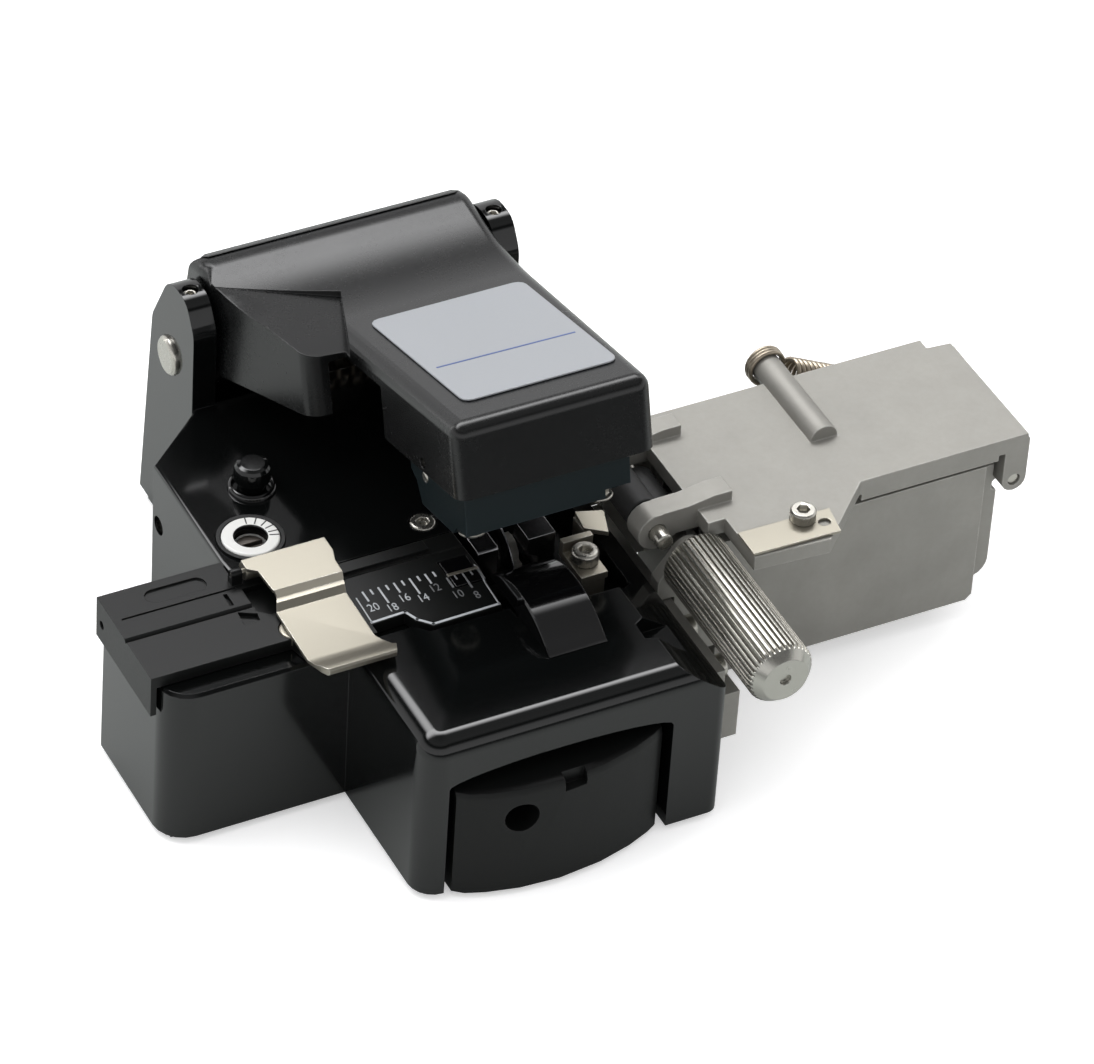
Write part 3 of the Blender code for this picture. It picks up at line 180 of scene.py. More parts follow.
SURFACES = {
    "satin_black_paint": dict(
        base=(0.0026, 0.0028, 0.0029), rough=0.265, fine=1500, bump=0.12, var=0.06, tint=0.10,
        edge=0.0002, edge_col=(0.007, 0.007, 0.0075), edge_rough=0.20, broad=60),
    "base_paint": dict(
        base=(0.0022, 0.0025, 0.0025), rough=0.105, fine=1500, bump=0.035, var=0.03, tint=0.10,
        edge=0.0004, edge_col=(0.010, 0.010, 0.011), edge_rough=0.10, broad=60),
    "knurl_steel": dict(
        base=(0.45, 0.442, 0.403), rough=0.26, metallic=0.95, fine=500, bump=0.02, var=0.06,
        tint=0.04, stretch=(1, 0.1, 1)),
    # darker steel for the floors of the knob's grooves: painted shade in the recesses
    "groove": dict(
        base=(0.20, 0.19, 0.165), rough=0.38, metallic=0.8, fine=500, bump=0.02, var=0.06,
        tint=0.04),
    "gloss_black": dict(
        base=(0.0020, 0.0020, 0.0022), rough=0.07, fine=1200, bump=0.02, var=0.02, tint=0.05,
        edge=0.0003, edge_rough=0.05, spec=0.6),
    "black_plastic": dict(
        base=(0.0036, 0.0039, 0.0038), rough=0.38, fine=2600, bump=0.30, var=0.10, tint=0.12,
        edge=0.0003, edge_col=(0.016, 0.016, 0.016), edge_rough=0.30, spec=0.23),
    "blue_grey": dict(
        base=(0.0055, 0.0115, 0.0135), rough=0.38, metallic=0.2, fine=2400, bump=0.22, var=0.10,
        tint=0.10, edge=0.0003, edge_col=(0.03, 0.042, 0.05), edge_rough=0.28, spec=0.3),
    "die_cast": dict(
        base=(0.275, 0.268, 0.246), rough=0.54, metallic=0.5, fine=1300, bump=0.60, var=0.20,
        tint=0.22, edge=0.0004, edge_col=(0.50, 0.49, 0.46), edge_rough=0.34, broad=160),
    "nickel": dict(
        base=(0.325, 0.304, 0.254), rough=0.36, metallic=0.9, fine=420, bump=0.10, var=0.10,
        tint=0.05, edge=0.0002, edge_col=(0.85, 0.83, 0.78), edge_rough=0.2, stretch=(1, 9, 1)),
    "steel": dict(
        base=(0.50, 0.485, 0.44), rough=0.28, metallic=0.95, fine=700, bump=0.04, var=0.08,
        tint=0.05, edge=0.0002, edge_col=(0.78, 0.76, 0.72), edge_rough=0.22),
    "hard_steel": dict(
        base=(0.30, 0.30, 0.31), rough=0.22, metallic=1.0, fine=900, bump=0.06, var=0.08,
        tint=0.06, edge=0.0002, edge_rough=0.15),
    "spring_wire": dict(
        base=(0.38, 0.33, 0.26), rough=0.30, metallic=0.9, fine=1200, bump=0.1, var=0.10,
        tint=0.12),
    "rubber": dict(
        base=(0.010, 0.010, 0.010), rough=0.66, fine=1800, bump=0.4, var=0.12, tint=0.2,
        edge=0.0003, edge_col=(0.03, 0.03, 0.03)),
    "silver_label": dict(
        base=(0.335, 0.348, 0.368), rough=0.42, metallic=0.15, fine=2000, bump=0.04, var=0.08,
        tint=0.03),
    "white_plastic": dict(
        base=(0.66, 0.66, 0.64), rough=0.34, fine=1500, bump=0.04, var=0.06, tint=0.03),
    # white of the ruler's print, and of the painted highlight line round the adapter
    "white_print_and_painted_highlight": dict(
        base=(0.42, 0.44, 0.46), rough=0.5, fine=3000, bump=0.05, var=0.05, tint=0.15),
    "printed_grey": dict(
        base=(0.13, 0.135, 0.14), rough=0.5, fine=3000, bump=0.05, var=0.05, tint=0.15),
    "printed_black": dict(
        base=(0.012, 0.012, 0.013), rough=0.45, fine=3000, bump=0.05, var=0.05, tint=0.1),
    "printed_blue": dict(
        base=(0.055, 0.10, 0.28), rough=0.45, fine=3000, bump=0.05, var=0.05, tint=0.1),
    "blackened_screw": dict(
        base=(0.05, 0.042, 0.036), rough=0.38, metallic=0.6, fine=600, bump=0.5, var=0.2,
        tint=0.3, edge=0.0003, edge_col=(0.18, 0.15, 0.12), edge_rough=0.3),
}
MATERIALS = {name: material(name, **spec) for name, spec in SURFACES.items()}


# ------------------------------------------------------------------ CAD pieces
SLOTS = {part["node"]: part["material_slot"] for part in frame["record"]["subparts"]}
# pieces whose material is not the one their slot names
OWN_MATERIAL = {"base_body": "base_paint", "ruler_strip": "gloss_black",
                "dial_screw": "blackened_screw"}
# width of the edge rounding, metres
EDGE_WIDTH = {
    "blade_guard": 0.0005, "release_button": 0.0002, "base_body": 0.0003, "arm_shell": 0.0004,
    "slider_pull": 0.0006, "clamp_head": 0.00025, "collector_box": 0.0004,
    "collector_cover": 0.0003, "clamp_lid": 0.0001, "blade_wheel": 0.00005,
    "ruler_strip": 0.00006, "arm_label": 0.00008, "roller_knob": 0.00008,
    "leaf_spring": 0.00008,
}
DEFAULT_EDGE_WIDTH = 0.00012


def round_edges(piece, width, segments, angle):
    """Bevels edges sharper than an angle and lets the large faces set the normals."""
    bevel = piece.modifiers.new("round", 'BEVEL')
    bevel.width = width
    bevel.segments = segments
    bevel.limit_method = 'ANGLE'
    bevel.angle_limit = math.radians(angle)
    bevel.use_clamp_overlap = True
    bevel.miter_outer = 'MITER_ARC'
    normals = piece.modifiers.new("normals", 'WEIGHTED_NORMAL')
    normals.mode = 'FACE_AREA'
    normals.weight = 100
    normals.keep_sharp = True


def refine(piece, width):
    """Rounds a CAD piece's sharp edges for the eye; its own vertices stay as they are."""
    if "custom_normal" in piece.data.attributes:
        piece.data.attributes.remove(piece.data.attributes["custom_normal"])
    piece.data.shade_smooth()
    weld = piece.modifiers.new("weld", 'WELD')
    weld.merge_threshold = 0.000002
    flat = piece.modifiers.new("flat", 'DECIMATE')
    flat.decimate_type = 'DISSOLVE'
    flat.angle_limit = math.radians(0.7)
    round_edges(piece, width, segments=2, angle=32)


for name, piece in NODES.items():
    piece.data.materials.clear()
    piece.data.materials.append(MATERIALS[OWN_MATERIAL.get(name) or SLOTS[name]])
    if name in ("arm_spring", "cover_spring"):
        piece.data.shade_smooth()
    else:
        refine(piece, EDGE_WIDTH.get(name, DEFAULT_EDGE_WIDTH))


# ------------------------------------------------------------------ making objects and meshes
def add_object(name, data):
    made = bpy.data.objects.new(name, data)
    bpy.context.scene.collection.objects.link(made)
    return made


def face_outward(bm):
    bmesh.ops.recalc_face_normals(bm, faces=bm.faces)
    if bm.calc_volume(signed=True) < 0:
        bmesh.ops.reverse_faces(bm, faces=bm.faces)


def to_mesh(bm, name, turn=None):
    """A bmesh in datum millimetres becomes a mesh in metres about the model's origin."""
    face_outward(bm)
    if turn is not None:
        bm.transform(turn)
    bm.transform(TO_MODEL)
    mesh = bpy.data.meshes.new(name)
    bm.to_mesh(mesh)
    bm.free()
    return mesh


def finish_piece(mesh, name, body, surface, smooth=35):
    """Puts a mesh in the scene, riding on a body; edges sharper than smooth degrees stay sharp."""
    mesh.materials.clear()
    mesh.materials.append(MATERIALS[surface])
    mesh.shade_smooth()
    mesh.set_sharp_from_angle(angle=math.radians(smooth))
    piece = add_object(name, mesh)
    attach(piece, body)
    return piece


def add_piece(name, bm, body, surface, smooth=35, turn=None):
    return finish_piece(to_mesh(bm, name, turn), name, body, surface, smooth)


def evaluated_mesh(source):
    bpy.context.view_layer.update()
    depsgraph = bpy.context.evaluated_depsgraph_get()
    return bpy.data.meshes.new_from_object(source.evaluated_get(depsgraph))


def curve_to_mesh(curve):
    """Gives the curve's mesh and removes the curve."""
    carrier = add_object(curve.name, curve)
    mesh = evaluated_mesh(carrier)
    bpy.data.objects.remove(carrier)
    bpy.data.curves.remove(curve)
    return mesh


def to_bmesh(mesh):
    """Gives the mesh as a bmesh and removes the mesh."""
    bm = bmesh.new()
    bm.from_mesh(mesh)
    bpy.data.meshes.remove(mesh)
    return bm


# ------------------------------------------------------------------ solids, datum millimetres
PLAN_VIEW = Matrix.Identity(4)      # outline points are (x, y), depth runs along z
SIDE_VIEW = Matrix(((0, 0, 1, 0), (1, 0, 0, 0), (0, 1, 0, 0), (0, 0, 0, 1)))  # (y, z), along x


def aim(at, direction):
    """Turns +Z to a direction and moves the origin to a point."""
    turn = Vector(direction).to_track_quat('Z', 'Y').to_matrix().to_4x4()
    return Matrix.Translation(at) @ turn


def cube(low, high):
    bm = bmesh.new()
    bmesh.ops.create_cube(bm, size=1.0)
    low, high = Vector(low), Vector(high)
    bm.transform(Matrix.Translation((low + high) / 2) @ Matrix.Diagonal((*(high - low), 1.0)))
    return bm


def arc(centre_x, centre_y, radius, start, end, steps):
    """Points along an arc, angles in degrees."""
    angles = [math.radians(start + (end - start) * i / steps) for i in range(steps + 1)]
    return [(centre_x + radius * math.cos(a), centre_y + radius * math.sin(a)) for a in angles]


def poly_spline(curve, points):
    spline = curve.splines.new('POLY')
    spline.points.add(len(points) - 1)
    for target, point in zip(spline.points, points):
        target.co = (*point, 1.0)
    return spline


def outline(points, view, low, high):
    """A flat outline drawn in a view and made solid from low to high along its depth."""
    curve = bpy.data.curves.new("outline", 'CURVE')
    curve.dimensions = '2D'
    curve.fill_mode = 'BOTH'
    curve.extrude = (high - low) / 2
    poly_spline(curve, [(u, v, 0.0) for u, v in points]).use_cyclic_u = True
    bm = to_bmesh(curve_to_mesh(curve))
    bmesh.ops.remove_doubles(bm, verts=bm.verts, dist=1e-4)
    bmesh.ops.dissolve_limit(bm, angle_limit=math.radians(0.2), verts=bm.verts, edges=bm.edges)
    bm.transform(view @ Matrix.Translation((0, 0, (low + high) / 2)))
    return bm


def rod(start, end, radius, segments):
    start, end = Vector(start), Vector(end)
    span = end - start
    bm = bmesh.new()
    bmesh.ops.create_cone(bm, cap_ends=True, cap_tris=False, segments=segments,
                          radius1=radius, radius2=radius, depth=span.length)
    bm.transform(aim((start + end) / 2, span))
    return bm


def hull(points):
    bm = bmesh.new()
    for point in points:
        bm.verts.new(point)
    bmesh.ops.convex_hull(bm, input=bm.verts)
    bmesh.ops.dissolve_limit(bm, angle_limit=math.radians(1.0), verts=bm.verts, edges=bm.edges)
    return bm


def tube(path, radius):
    """A round wire bent through points."""
    curve = bpy.data.curves.new("tube", 'CURVE')
    curve.dimensions = '3D'
    curve.bevel_depth = radius
    curve.bevel_resolution = 2
    curve.use_fill_caps = True
    poly_spline(curve, path)
    return to_bmesh(curve_to_mesh(curve))


def combine(base, *steps):
    """Runs exact Booleans on bmeshes and gives back a bmesh: steps are (operation, bmesh)."""
    def carrier(bm):
        face_outward(bm)
        mesh = bpy.data.meshes.new("step")
        bm.to_mesh(mesh)
        bm.free()
        return add_object("step", mesh)

    main = carrier(base)
    carriers = [main]
    for operation, bm in steps:
        tool = carrier(bm)
        carriers.append(tool)
        boolean = main.modifiers.new("b", 'BOOLEAN')
        boolean.operation = operation
        boolean.solver = 'EXACT'
        boolean.object = tool
    result = to_bmesh(evaluated_mesh(main))
    for used in carriers:
        mesh = used.data
        bpy.data.objects.remove(used)
        bpy.data.meshes.remove(mesh)
    bmesh.ops.remove_doubles(result, verts=result.verts, dist=1e-4)
    return result


def skin_rings(rings, at, axis):
    """Joins rings of points with faces; a ring of one point closes an end."""
    bm = bmesh.new()
    turns = [[bm.verts.new(point) for point in ring] for ring in rings]
    for a, b in zip(turns, turns[1:]):
        count = max(len(a), len(b))
        for k in range(count):
            j = (k + 1) % count
            if len(a) == 1:
                bm.faces.new((a[0], b[k], b[j]))
            elif len(b) == 1:
                bm.faces.new((a[k], b[0], a[j]))
            else:
                bm.faces.new((a[k], b[k], b[j], a[j]))
    bm.transform(aim(at, axis))
    return bm


def lathe(profile, at, segments=64):
    """(radius, height) points turned round a vertical axis through a datum point."""
    angles = [2 * math.pi * k / segments for k in range(segments)]
    rings = [[(r * math.cos(a), r * math.sin(a), h) for a in angles] if r else [(0, 0, h)]
             for r, h in profile]
    return skin_rings(rings, at, (0, 0, 1))


def knurled(profile, flutes, at, axis):
    """(radius, height, groove depth) rings; flutes run along the axis where there is depth."""
    # one flute: (place as a share of the pitch, 1 in the groove)
    flute = ((-0.30, 0), (0.12, 0), (0.30, 1), (0.52, 1))
    rings = []
    for radius, height, depth in profile:
        ring = []
        for k in range(flutes):
            for share, low in flute:
                a = 2 * math.pi * (k + share) / flutes
                r = radius - depth * low
                ring.append((r * math.cos(a), r * math.sin(a), height))
        rings.append(ring if radius else [(0, 0, height)])
    return skin_rings(rings, at, axis)


# ------------------------------------------------------------------ arm shell, with its full edge rounds
# The arm is drawn lying level and then turned about the hinge.
HINGE = (25.8, 53.4, 28.8)
ARM_ANGLE = -15.5
ARM_TURN = (Matrix.Translation(HINGE) @ Matrix.Rotation(math.radians(ARM_ANGLE), 4, 'X')
            @ Matrix.Translation(-Vector(HINGE)))
ARM_ROUND = 1.8
# control points (y, z) of the curve by which the top rises towards the back
CREASE = ((33.5, 37.3), (40.0, 37.3), (46.5, 40.05))
CREASE_STEPS = 10
# plan of the arm and of the facet cut from its left shoulder, (x, y)
ARM_PLAN = [(13.4, -3.0), (39.6, -3.0), (41.3, 37.0), (41.25, 60.0), (3.95, 60.0),
            (4.0, 47.0), (8.5, 28.9), (13.6, 28.9)]
FACET = [(0.0, 26.0), (13.0, 26.0), (13.6, 28.9), (18.2, 39.8), (7.3, 44.6), (0.0, 47.8)]


def facet_height(x, y):
    """The sloping plane of the shoulder facet."""
    return 39.15 - 0.0886 * (x - 7.3) + 0.218 * (y - 44.5)


def arm_side():
    """Side view of the arm, (y, z)."""
    crease = []
    for k in range(CREASE_STEPS + 1):
        t = k / CREASE_STEPS
        crease.append(tuple((1 - t) ** 2 * a + 2 * t * (1 - t) * b + t * t * c
                            for a, b, c in zip(*CREASE)))
    return [(-2.1, 27.5), (-2.1, 37.3), *crease, (50.4, 41.7), (52.6, 41.5), (58.0, 30.6),
            (58.3, 28.0), *arc(HINGE[1], HINGE[2], 4.9, -20, -180, 14), (46.4, 27.5)]


def takes_round(edge):
    """Convex corners, but not round the facet, behind the hinge or along the underside."""
    if len(edge.link_faces) != 2 or not edge.is_convex:
        return False
    middle = (edge.verts[0].co + edge.verts[1].co) / 2
    n0, n1 = (face.normal for face in edge.link_faces)
    by_facet = all(v.co.x < 18.6 and 26.0 < v.co.y < 48.2 and v.co.z > 33.5
                   for v in edge.verts)
    underside = middle.z < 29.0 and (n0.z < -0.5 or n1.z < -0.5)
    shallow = n0.angle(n1, 0) < math.radians(28)
    return not (by_facet or shallow or middle.y > 54.5 or underside)


def arm_solid():
    facet_cut = ([(x, y, facet_height(x, y)) for x, y in FACET]
                 + [(x, y, 50.0) for x, y in FACET])
    bm = combine(outline(arm_side(), SIDE_VIEW, 3.0, 42.0),
                 ('INTERSECT', outline(ARM_PLAN, PLAN_VIEW, 15.0, 50.0)),
                 ('DIFFERENCE', hull(facet_cut)))
    bmesh.ops.dissolve_limit(bm, angle_limit=math.radians(0.5), verts=bm.verts, edges=bm.edges)
    bm.normal_update()
    bmesh.ops.bevel(bm, geom=[e for e in bm.edges if takes_round(e)], offset=ARM_ROUND,
                    segments=5, profile=0.5, affect='EDGES', clamp_overlap=False)
    hollows = [
        cube((14.75, -0.5, 22.0), (37.55, 17.2, 34.4)),             # front, open below
        cube((11.2, 19.0, 22.0), (37.4, 45.6, 34.4)),               # middle, open below
        cube((15.4, 44.5, 22.0), (29.6, 62.0, 36.0)),               # back, open below and behind
        rod((0.0, *HINGE[1:]), (46.0, *HINGE[1:]), 2.66, 40),       # hinge bore
        rod((13.0, 8.1, 28.7), (42.0, 8.1, 28.7), 0.72, 16),        # cross bore near the front
    ]
    return combine(bm, *[('DIFFERENCE', hollow) for hollow in hollows])


def crease_large_faces(mesh):
    """Keeps the edges between large faces sharp, even where they meet at a shallow angle."""
    bm = bmesh.new()
    bm.from_mesh(mesh)
    for e in bm.edges:
        if (len(e.link_faces) == 2 and min(f.calc_area() for f in e.link_faces) > 6e-6
                and e.calc_face_angle(0) > math.radians(7)):
            e.smooth = False
    bm.to_mesh(mesh)
    bm.free()


arm = add_piece("arm_shell_visual", arm_solid(), "arm", "satin_black_paint",
                smooth=40, turn=ARM_TURN)
crease_large_faces(arm.data)
round_edges(arm, 0.00035, segments=3, angle=40)
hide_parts("arm_shell")


# ------------------------------------------------------------------ printing: ruler, dial, label line, and a painted highlight round the adapter
def add_strips(name, lines, bottom, top, body, surface, turn=None):
    """Thin straight lines in one piece, printed or painted highlight: lines are (start, end, width)."""
    bm = bmesh.new()
    for (x0, y0), (x1, y1), width in lines:
        d = Vector((x1 - x0, y1 - y0))
        n = Vector((-d.y, d.x)).normalized() * width / 2
        d = d.normalized() * width / 2
        ring = [(x0 - d.x + n.x, y0 - d.y + n.y), (x1 + d.x + n.x, y1 + d.y + n.y),
                (x1 + d.x - n.x, y1 + d.y - n.y), (x0 - d.x - n.x, y0 - d.y - n.y)]
        lower = [bm.verts.new((x, y, bottom)) for x, y in ring]
        upper = [bm.verts.new((x, y, top)) for x, y in ring]
        bm.faces.new(upper)
        bm.faces.new(list(reversed(lower)))
        for i in range(4):
            j = (i + 1) % 4
            bm.faces.new((lower[i], lower[j], upper[j], upper[i]))
    add_piece(name, bm, body, surface, turn=turn)


RULER_TOP = 25.2
PRINT_BOTTOM = RULER_TOP - 0.05
PRINT_TOP = RULER_TOP + 0.03
TICK_COUNT, TICK_START, TICK_PITCH = 15, 5.05, 1.04
TICK_SPLIT = 14.9                           # x where the right-hand ticks begin
# y where a tick begins, y where it ends by its number modulo 4, width
LEFT_TICKS = (7.3, (5.65, 6.6, 4.5, 6.6), 0.24)
RIGHT_TICKS = (5.6, (3.0, 5.0, 3.9, 5.0), 0.22)
# painted highlight of the adapter's bevelled edge, drawn as a white line round it, (x, y); the four
# segments after the first are thick
EDGE_HIGHLIGHT = [(3.9, 6.6), (3.75, 1.95), (8.2, 2.15), (8.95, 0.35), (10.4, -1.15),
             (19.2, -0.95), (19.35, 3.1), (19.75, 5.9), (19.6, 6.6)]
# printed number and its y, from left to right
NUMBERS = (("20", 4.3), ("18", 3.4), ("16", 4.4), ("14", 3.5), ("12", 4.6), ("10", 2.5), ("8", 1.5))
NUMBER_START, NUMBER_PITCH = 5.1, 2.07
NUMBER_SIZE, NUMBER_NARROWING, NUMBER_EXTRUDE = 1.9, 0.78, 0.015
WHITE_NUMBERS = 4                           # the numbers after these are grey

# the white line round the adapter is a painted highlight of its bevelled edge, not print
add_strips("adapter_edge_painted_highlight",
           [(start, end, 0.34 if 1 <= i <= 4 else 0.16)
            for i, (start, end) in enumerate(zip(EDGE_HIGHLIGHT, EDGE_HIGHLIGHT[1:]))],
           PRINT_BOTTOM, PRINT_TOP, "base", "white_print_and_painted_highlight")
left_ticks, right_ticks = [], []
for k in range(TICK_COUNT):
    x = TICK_START + k * TICK_PITCH
    on_left = x < TICK_SPLIT
    start, ends, width = LEFT_TICKS if on_left else RIGHT_TICKS
    (left_ticks if on_left else right_ticks).append(((x, start), (x, ends[k % 4]), width))
add_strips("ruler_ticks", left_ticks, PRINT_BOTTOM, PRINT_TOP,
           "base", "white_print_and_painted_highlight")
add_strips("ruler_ticks_right", right_ticks, PRINT_BOTTOM, RULER_TOP + 0.13,
           "base", "printed_grey")
add_strips("ruler_bar", [((15.9, 6.0), (19.5, 5.95), 0.42)], PRINT_BOTTOM, RULER_TOP + 0.2,
           "base", "nickel")


def add_number(text, x, y, surface):
    name = "ruler_number_" + text
    curve = bpy.data.curves.new(name, 'FONT')
    curve.body = text
    curve.size = NUMBER_SIZE
    curve.extrude = NUMBER_EXTRUDE
    curve.align_x = 'CENTER'
    curve.align_y = 'CENTER'
    curve.resolution_u = 3
    mesh = curve_to_mesh(curve)
    at = (x - ORIGIN_X, y - ORIGIN_Y, RULER_TOP + NUMBER_EXTRUDE)
    mesh.transform(Matrix.Scale(MM, 4) @ Matrix.Translation(at)
                   @ Matrix.Diagonal((NUMBER_NARROWING, 1.0, 1.0, 1.0)))
    finish_piece(mesh, name, "base", surface)


for k, (text, y) in enumerate(NUMBERS):
    add_number(text, NUMBER_START + k * NUMBER_PITCH, y,
               "white_print_and_painted_highlight" if k < WHITE_NUMBERS else "printed_grey")

DIAL_X, DIAL_Y = -3.1, 21.7
dial_marks = []
for degrees in (78, 54, 32, 14, -4, -18):
    c, s = math.cos(math.radians(degrees)), math.sin(math.radians(degrees))
    inner, outer = ((DIAL_X + r * c, DIAL_Y + r * s) for r in (2.35, 3.4))
    dial_marks.append((inner, outer, 0.16))
add_strips("dial_marks", dial_marks, 25.45, 25.53, "dial", "printed_black")

add_strips("label_line", [((18.9, 13.7), (36.9, 13.2), 0.28)], 37.55, 37.63,
           "arm", "printed_blue", turn=ARM_TURN)


# ------------------------------------------------------------------ turned pieces drawn finer than the CAD
BUTTON_AT = (1.1, 30.5, 0.0)
# (radius, height)
BUTTON = [(0, 28.95), (1.5, 28.9), (1.95, 28.7), (2.2, 28.3), (2.3, 27.6), (2.3, 26.55),
          (1.68, 26.5), (1.68, 20.7), (0, 20.7)]
BUTTON_BUSH = [(2.45, 25.0), (2.45, 25.55), (2.6, 25.7), (2.85, 25.6), (3.0, 25.3),
               (3.05, 24.95), (2.45, 24.95), (2.45, 25.0)]
DIAL_SLEEVE = [(2.16, 25.46), (2.08, 25.5), (1.98, 25.4), (1.98, 24.15), (2.08, 24.15),
               (2.16, 24.2), (2.16, 25.46)]

button = add_piece("release_button_visual", lathe(BUTTON, BUTTON_AT), "button", "base_paint",
                   smooth=12)
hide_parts("release_button")
add_piece("button_bush", lathe(BUTTON_BUSH, BUTTON_AT), "base", "gloss_black",
          smooth=60)
add_piece("dial_sleeve", lathe(DIAL_SLEEVE, (DIAL_X, DIAL_Y, 0.0)), "dial", "gloss_black",
          smooth=60)

KNOB_AT = (45.5, 0.0, 23.5)
# (radius, distance in front of KNOB_AT, groove depth)
KNOB = [(0, 5.5, 0), (1.22, 5.5, 0), (1.22, 1.3, 0), (3.9, 1.3, 0), (4.25, 1.55, 0.26),
        (4.3, 1.7, 0.34), (4.3, 23.4, 0.34), (4.15, 23.75, 0.20), (3.95, 24.0, 0),
        (3.1, 24.9, 0), (2.98, 25.0, 0), (0.8, 25.0, 0), (0.72, 24.9, 0), (0.70, 24.5, 0),
        (0, 24.5, 0)]

knob = add_piece("roller_knob_visual", knurled(KNOB, 38, KNOB_AT, (0, -1, 0)), "drive",
                 "knurl_steel", smooth=30)
# the groove floors take the darker groove material: painted shade in the knob's grooves
knob.data.materials.append(MATERIALS["groove"])
for face in knob.data.polygons:
    # the floors of the grooves are the faces a little inside the knob's full radius
    centre = face.center
    radius = math.hypot(centre.x / MM + ORIGIN_X - KNOB_AT[0], centre.z / MM - KNOB_AT[2])
    if 3.75 < radius < 4.16 and -23.6 < centre.y / MM + ORIGIN_Y < -1.5:
        face.material_index = 1
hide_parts("roller_knob")


# ------------------------------------------------------------------ cover spring
POST, PEG = Vector((67.9, 22.7, 28.4)), Vector((85.0, 22.5, 19.8))
RUN = (PEG - POST).normalized()
RISE = Vector((0, 1, 0)).cross(RUN).normalized()
ACROSS = RUN.cross(RISE)
WIRE_RADIUS = 0.30
POST_LOOP, COIL_RADIUS, PEG_LOOP = 2.35, 1.7, 1.3     # radii of the wire's centre line
COILS, COIL_STEPS = 17, 20


def spring_path():
    """Wound round the post, coiled along the run, hooked round the peg."""
    def circle(centre, radius, angle, u, v):
        return centre + (u * math.cos(angle) + v * math.sin(angle)) * radius

    path = []
    for k in range(61):
        angle = math.radians(1040 - 1040 * k / 60)
        path.append(circle(POST, POST_LOOP, angle, RUN, RISE) + ACROSS * (1.2 - 1.4 * k / 60))
    length = (PEG - POST).length
    first, last = 3.3, length - 2.6         # where the coils begin and end along the run
    for k in range(COILS * COIL_STEPS + 1):
        along = first + (last - first) * k / (COILS * COIL_STEPS)
        angle = 2 * math.pi * k / COIL_STEPS
        path.append(circle(POST.lerp(PEG, along / length), COIL_RADIUS, angle, RISE, ACROSS))
    for k in range(19):
        path.append(circle(PEG, PEG_LOOP, math.radians(180 + 320 * k / 18), RUN, RISE))
    return path


spring_mesh = to_mesh(tube(spring_path(), WIRE_RADIUS), "cover_spring_visual")
spring_mesh.materials.clear()
spring_mesh.materials.append(MATERIALS["spring_wire"])
spring_mesh.shade_smooth()
spring = add_object("cover_spring_visual", spring_mesh)
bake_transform(spring)
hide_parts("cover_spring")


# ------------------------------------------------------------------ floor
def floor_material():
    """White and slightly glowing to the camera; to glossy rays it is painted dark at the front, a painted
    dark reflection in polished surfaces.
    """
    made, tree, shader = new_material("floor_white")
    rays = add_node(tree, "ShaderNodeLightPath").outputs
    coords = add_node(tree, "ShaderNodeTexCoord").outputs["Object"]
    y = add_node(tree, "ShaderNodeSeparateXYZ", {0: coords}).outputs["Y"]
    painted_reflection_fade = add_node(tree, "ShaderNodeMapRange", {
        "Value": y, "From Min": -0.17, "From Max": -0.055, "To Min": 0.05, "To Max": 1.0,
    }, interpolation_type='SMOOTHSTEP').outputs[0]
    # glossy rays see the floor in front of the tool painted dark: a painted dark reflection
    mirrored = mix_colour(tree, painted_reflection_fade, (0.015, 0.018, 0.018, 1), (0.64, 0.665, 0.65, 1))
    colour = mix_colour(tree, rays["Is Glossy Ray"], (0.93, 0.93, 0.93, 1), mirrored)
    glow = calc(tree, 'MULTIPLY', rays["Is Camera Ray"], 0.40)
    for key, value in {"Roughness": 0.7, "Specular IOR Level": 0.2, "Base Color": colour,
                       "Emission Color": (1, 1, 1, 1), "Emission Strength": glow}.items():
        feed(tree, shader.inputs[key], value)
    return made


bm = bmesh.new()
bmesh.ops.create_grid(bm, x_segments=1, y_segments=1, size=2.5)
floor_mesh = bpy.data.meshes.new("floor")
bm.to_mesh(floor_mesh)
bm.free()
floor = add_object("floor", floor_mesh)
floor.location = (0, 0, -0.00005)           # just below the tool's feet
floor_mesh.materials.append(floor_material())


# ------------------------------------------------------------------ world
scene = bpy.context.scene
scene.view_settings.view_transform = 'Standard'
scene.view_settings.look = 'None'


def build_world():
    world = bpy.data.worlds.new("studio")
    scene.world = world
    world.use_nodes = True
    tree = world.node_tree
    coords = add_node(tree, "ShaderNodeTexCoord").outputs["Generated"]
    direction = add_node(tree, "ShaderNodeSeparateXYZ", {0: coords}).outputs

    def height_glow(stops, strength):
        """Light that depends on how high a ray points."""
        colour = add_ramp(tree, direction["Z"], stops, blue=1.01)
        return add_node(tree, "ShaderNodeBackground", {0: colour, 1: strength}).outputs[0]

    soft = height_glow([(0.0, 0.9), (0.5, 1.0), (1.0, 1.05)], strength=0.85)
    # polished surfaces mirror a pale sweep with a dark band above it,
    # and one broad softbox overhead towards the back
    sweep = height_glow([(0.0, 0.95), (0.44, 0.80), (0.57, 0.06), (0.66, 0.012), (1.0, 0.0)],
                        strength=1.15)
    overhead = height_glow([(0.0, 0.0), (0.678, 0.0), (0.742, 0.78), (0.79, 1.0),
                            (0.93, 0.85), (1.0, 0.6)], strength=8.8)
    toward_back = add_node(tree, "ShaderNodeMapRange", {
        "Value": direction["Y"], "From Min": 0.15, "From Max": 0.48,
        "To Min": 0.035, "To Max": 1.0,
    }, interpolation_type='SMOOTHSTEP').outputs[0]
    dark = add_node(tree, "ShaderNodeBackground", {0: (0.02, 0.02, 0.02, 1)}).outputs[0]
    box = add_node(tree, "ShaderNodeMixShader", {0: toward_back, 1: dark, 2: overhead})
    mirrored = add_node(tree, "ShaderNodeAddShader", {0: sweep, 1: box.outputs[0]}).outputs[0]
    glossy = add_node(tree, "ShaderNodeLightPath").outputs["Is Glossy Ray"]
    surface = add_node(tree, "ShaderNodeMixShader", {0: glossy, 1: soft, 2: mirrored})
    feed(tree, tree.nodes["World Output"].inputs["Surface"], surface.outputs[0])


build_world()


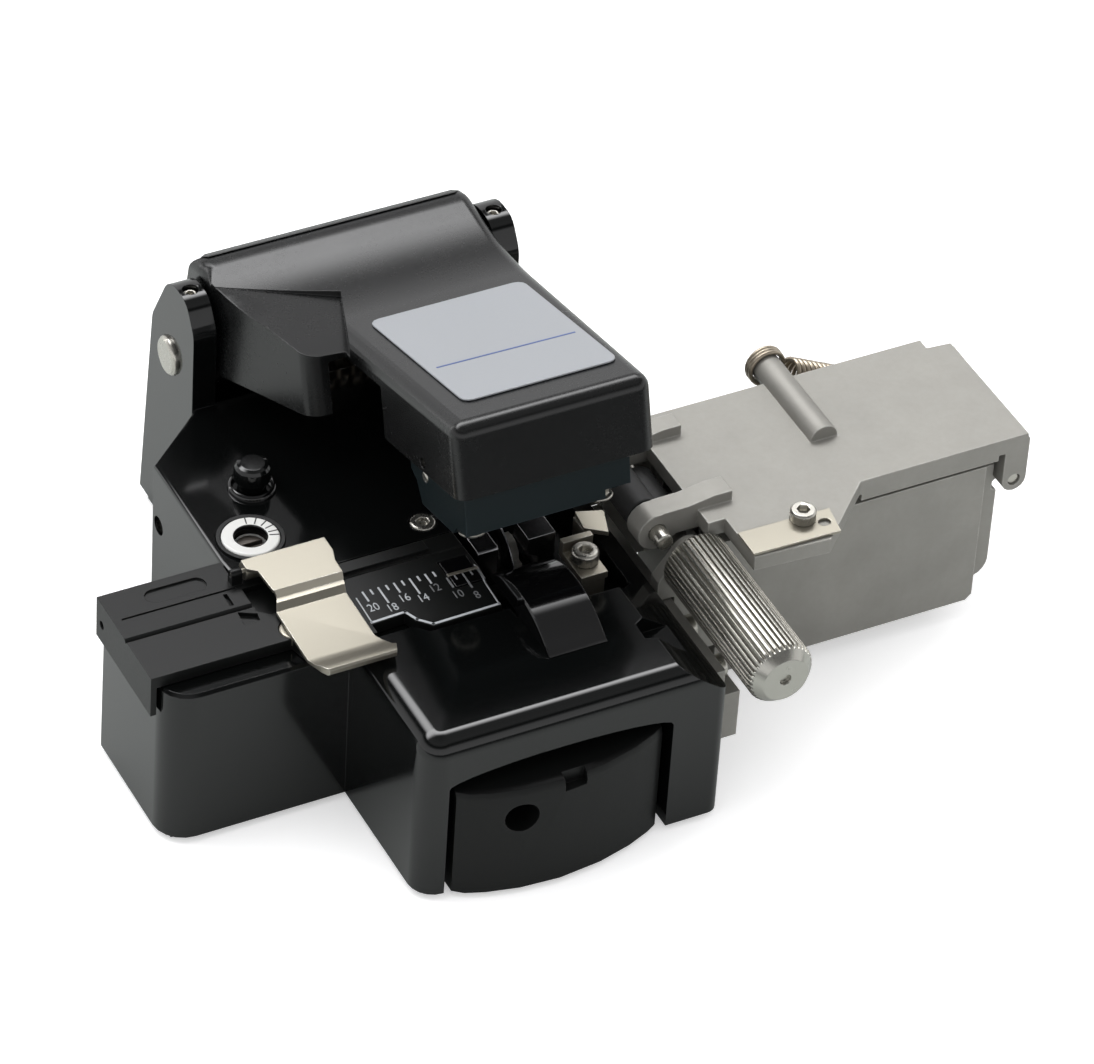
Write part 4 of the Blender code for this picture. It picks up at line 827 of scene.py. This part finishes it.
# ------------------------------------------------------------------ lights
def softbox(name, at, size, power, target=(0.0, 0.0, 0.02), size_y=None, mirrored=False):
    """An area light aimed at a point; mirrored lights show in glossy surfaces."""
    light = bpy.data.lights.new(name, 'AREA')
    light.energy = power
    light.size = size
    if size_y:
        light.shape = 'RECTANGLE'
        light.size_y = size_y
    lamp = add_object(name, light)
    lamp.location = at
    aimed = Vector(target) - Vector(at)
    lamp.rotation_euler = aimed.to_track_quat('-Z', 'Y').to_euler()
    lamp.visible_glossy = mirrored


softbox("key", at=(-0.25, 0.30, 0.85), size=0.9, power=5.0)
softbox("left", at=(-0.9, -0.10, 0.40), size=0.35, power=0.7)
softbox("front", at=(0.30, -0.9, 0.55), size=0.4, power=0.7)
softbox("rim_left", at=(-0.55, 0.75, 0.30), target=(0.0, 0.02, 0.03),
        size=0.10, size_y=0.5, power=0.5, mirrored=True)
softbox("rim_right", at=(0.75, 0.30, 0.62), target=(0.0, 0.0, 0.03),
        size=0.08, size_y=0.5, power=0.5, mirrored=True)


# ------------------------------------------------------------------ camera
# rows: the camera's right, down and forward directions
VIEW_AXES = Matrix(((0.893523631, -0.445919546, 0.0526429468),
                    (-0.25408424, -0.598794533, -0.75953032),
                    (0.370211724, 0.665282546, -0.648338194)))
# the datum corner as seen by the camera: right, down, forward, millimetres
DATUM_IN_VIEW = Vector((-24.6443514, 32.0387914, 800.7116659))

camera_data = bpy.data.cameras.new("camera")
camera_data.sensor_fit = 'HORIZONTAL'
camera_data.sensor_width = 36.0
camera_data.lens = 217.554584
camera_data.shift_x = 1.71819e-5
camera_data.shift_y = -3.193053e-5
camera_data.clip_start = 0.01
camera_data.clip_end = 20.0
camera = add_object("camera", camera_data)
right, up, back = Vector(VIEW_AXES[0]), -Vector(VIEW_AXES[1]), -Vector(VIEW_AXES[2])
eye = -(VIEW_AXES.transposed() @ DATUM_IN_VIEW)
rotation = Matrix((right, up, back)).transposed().to_4x4()
camera.matrix_world = Matrix.Translation(to_model(*eye)) @ rotation
scene.camera = camera
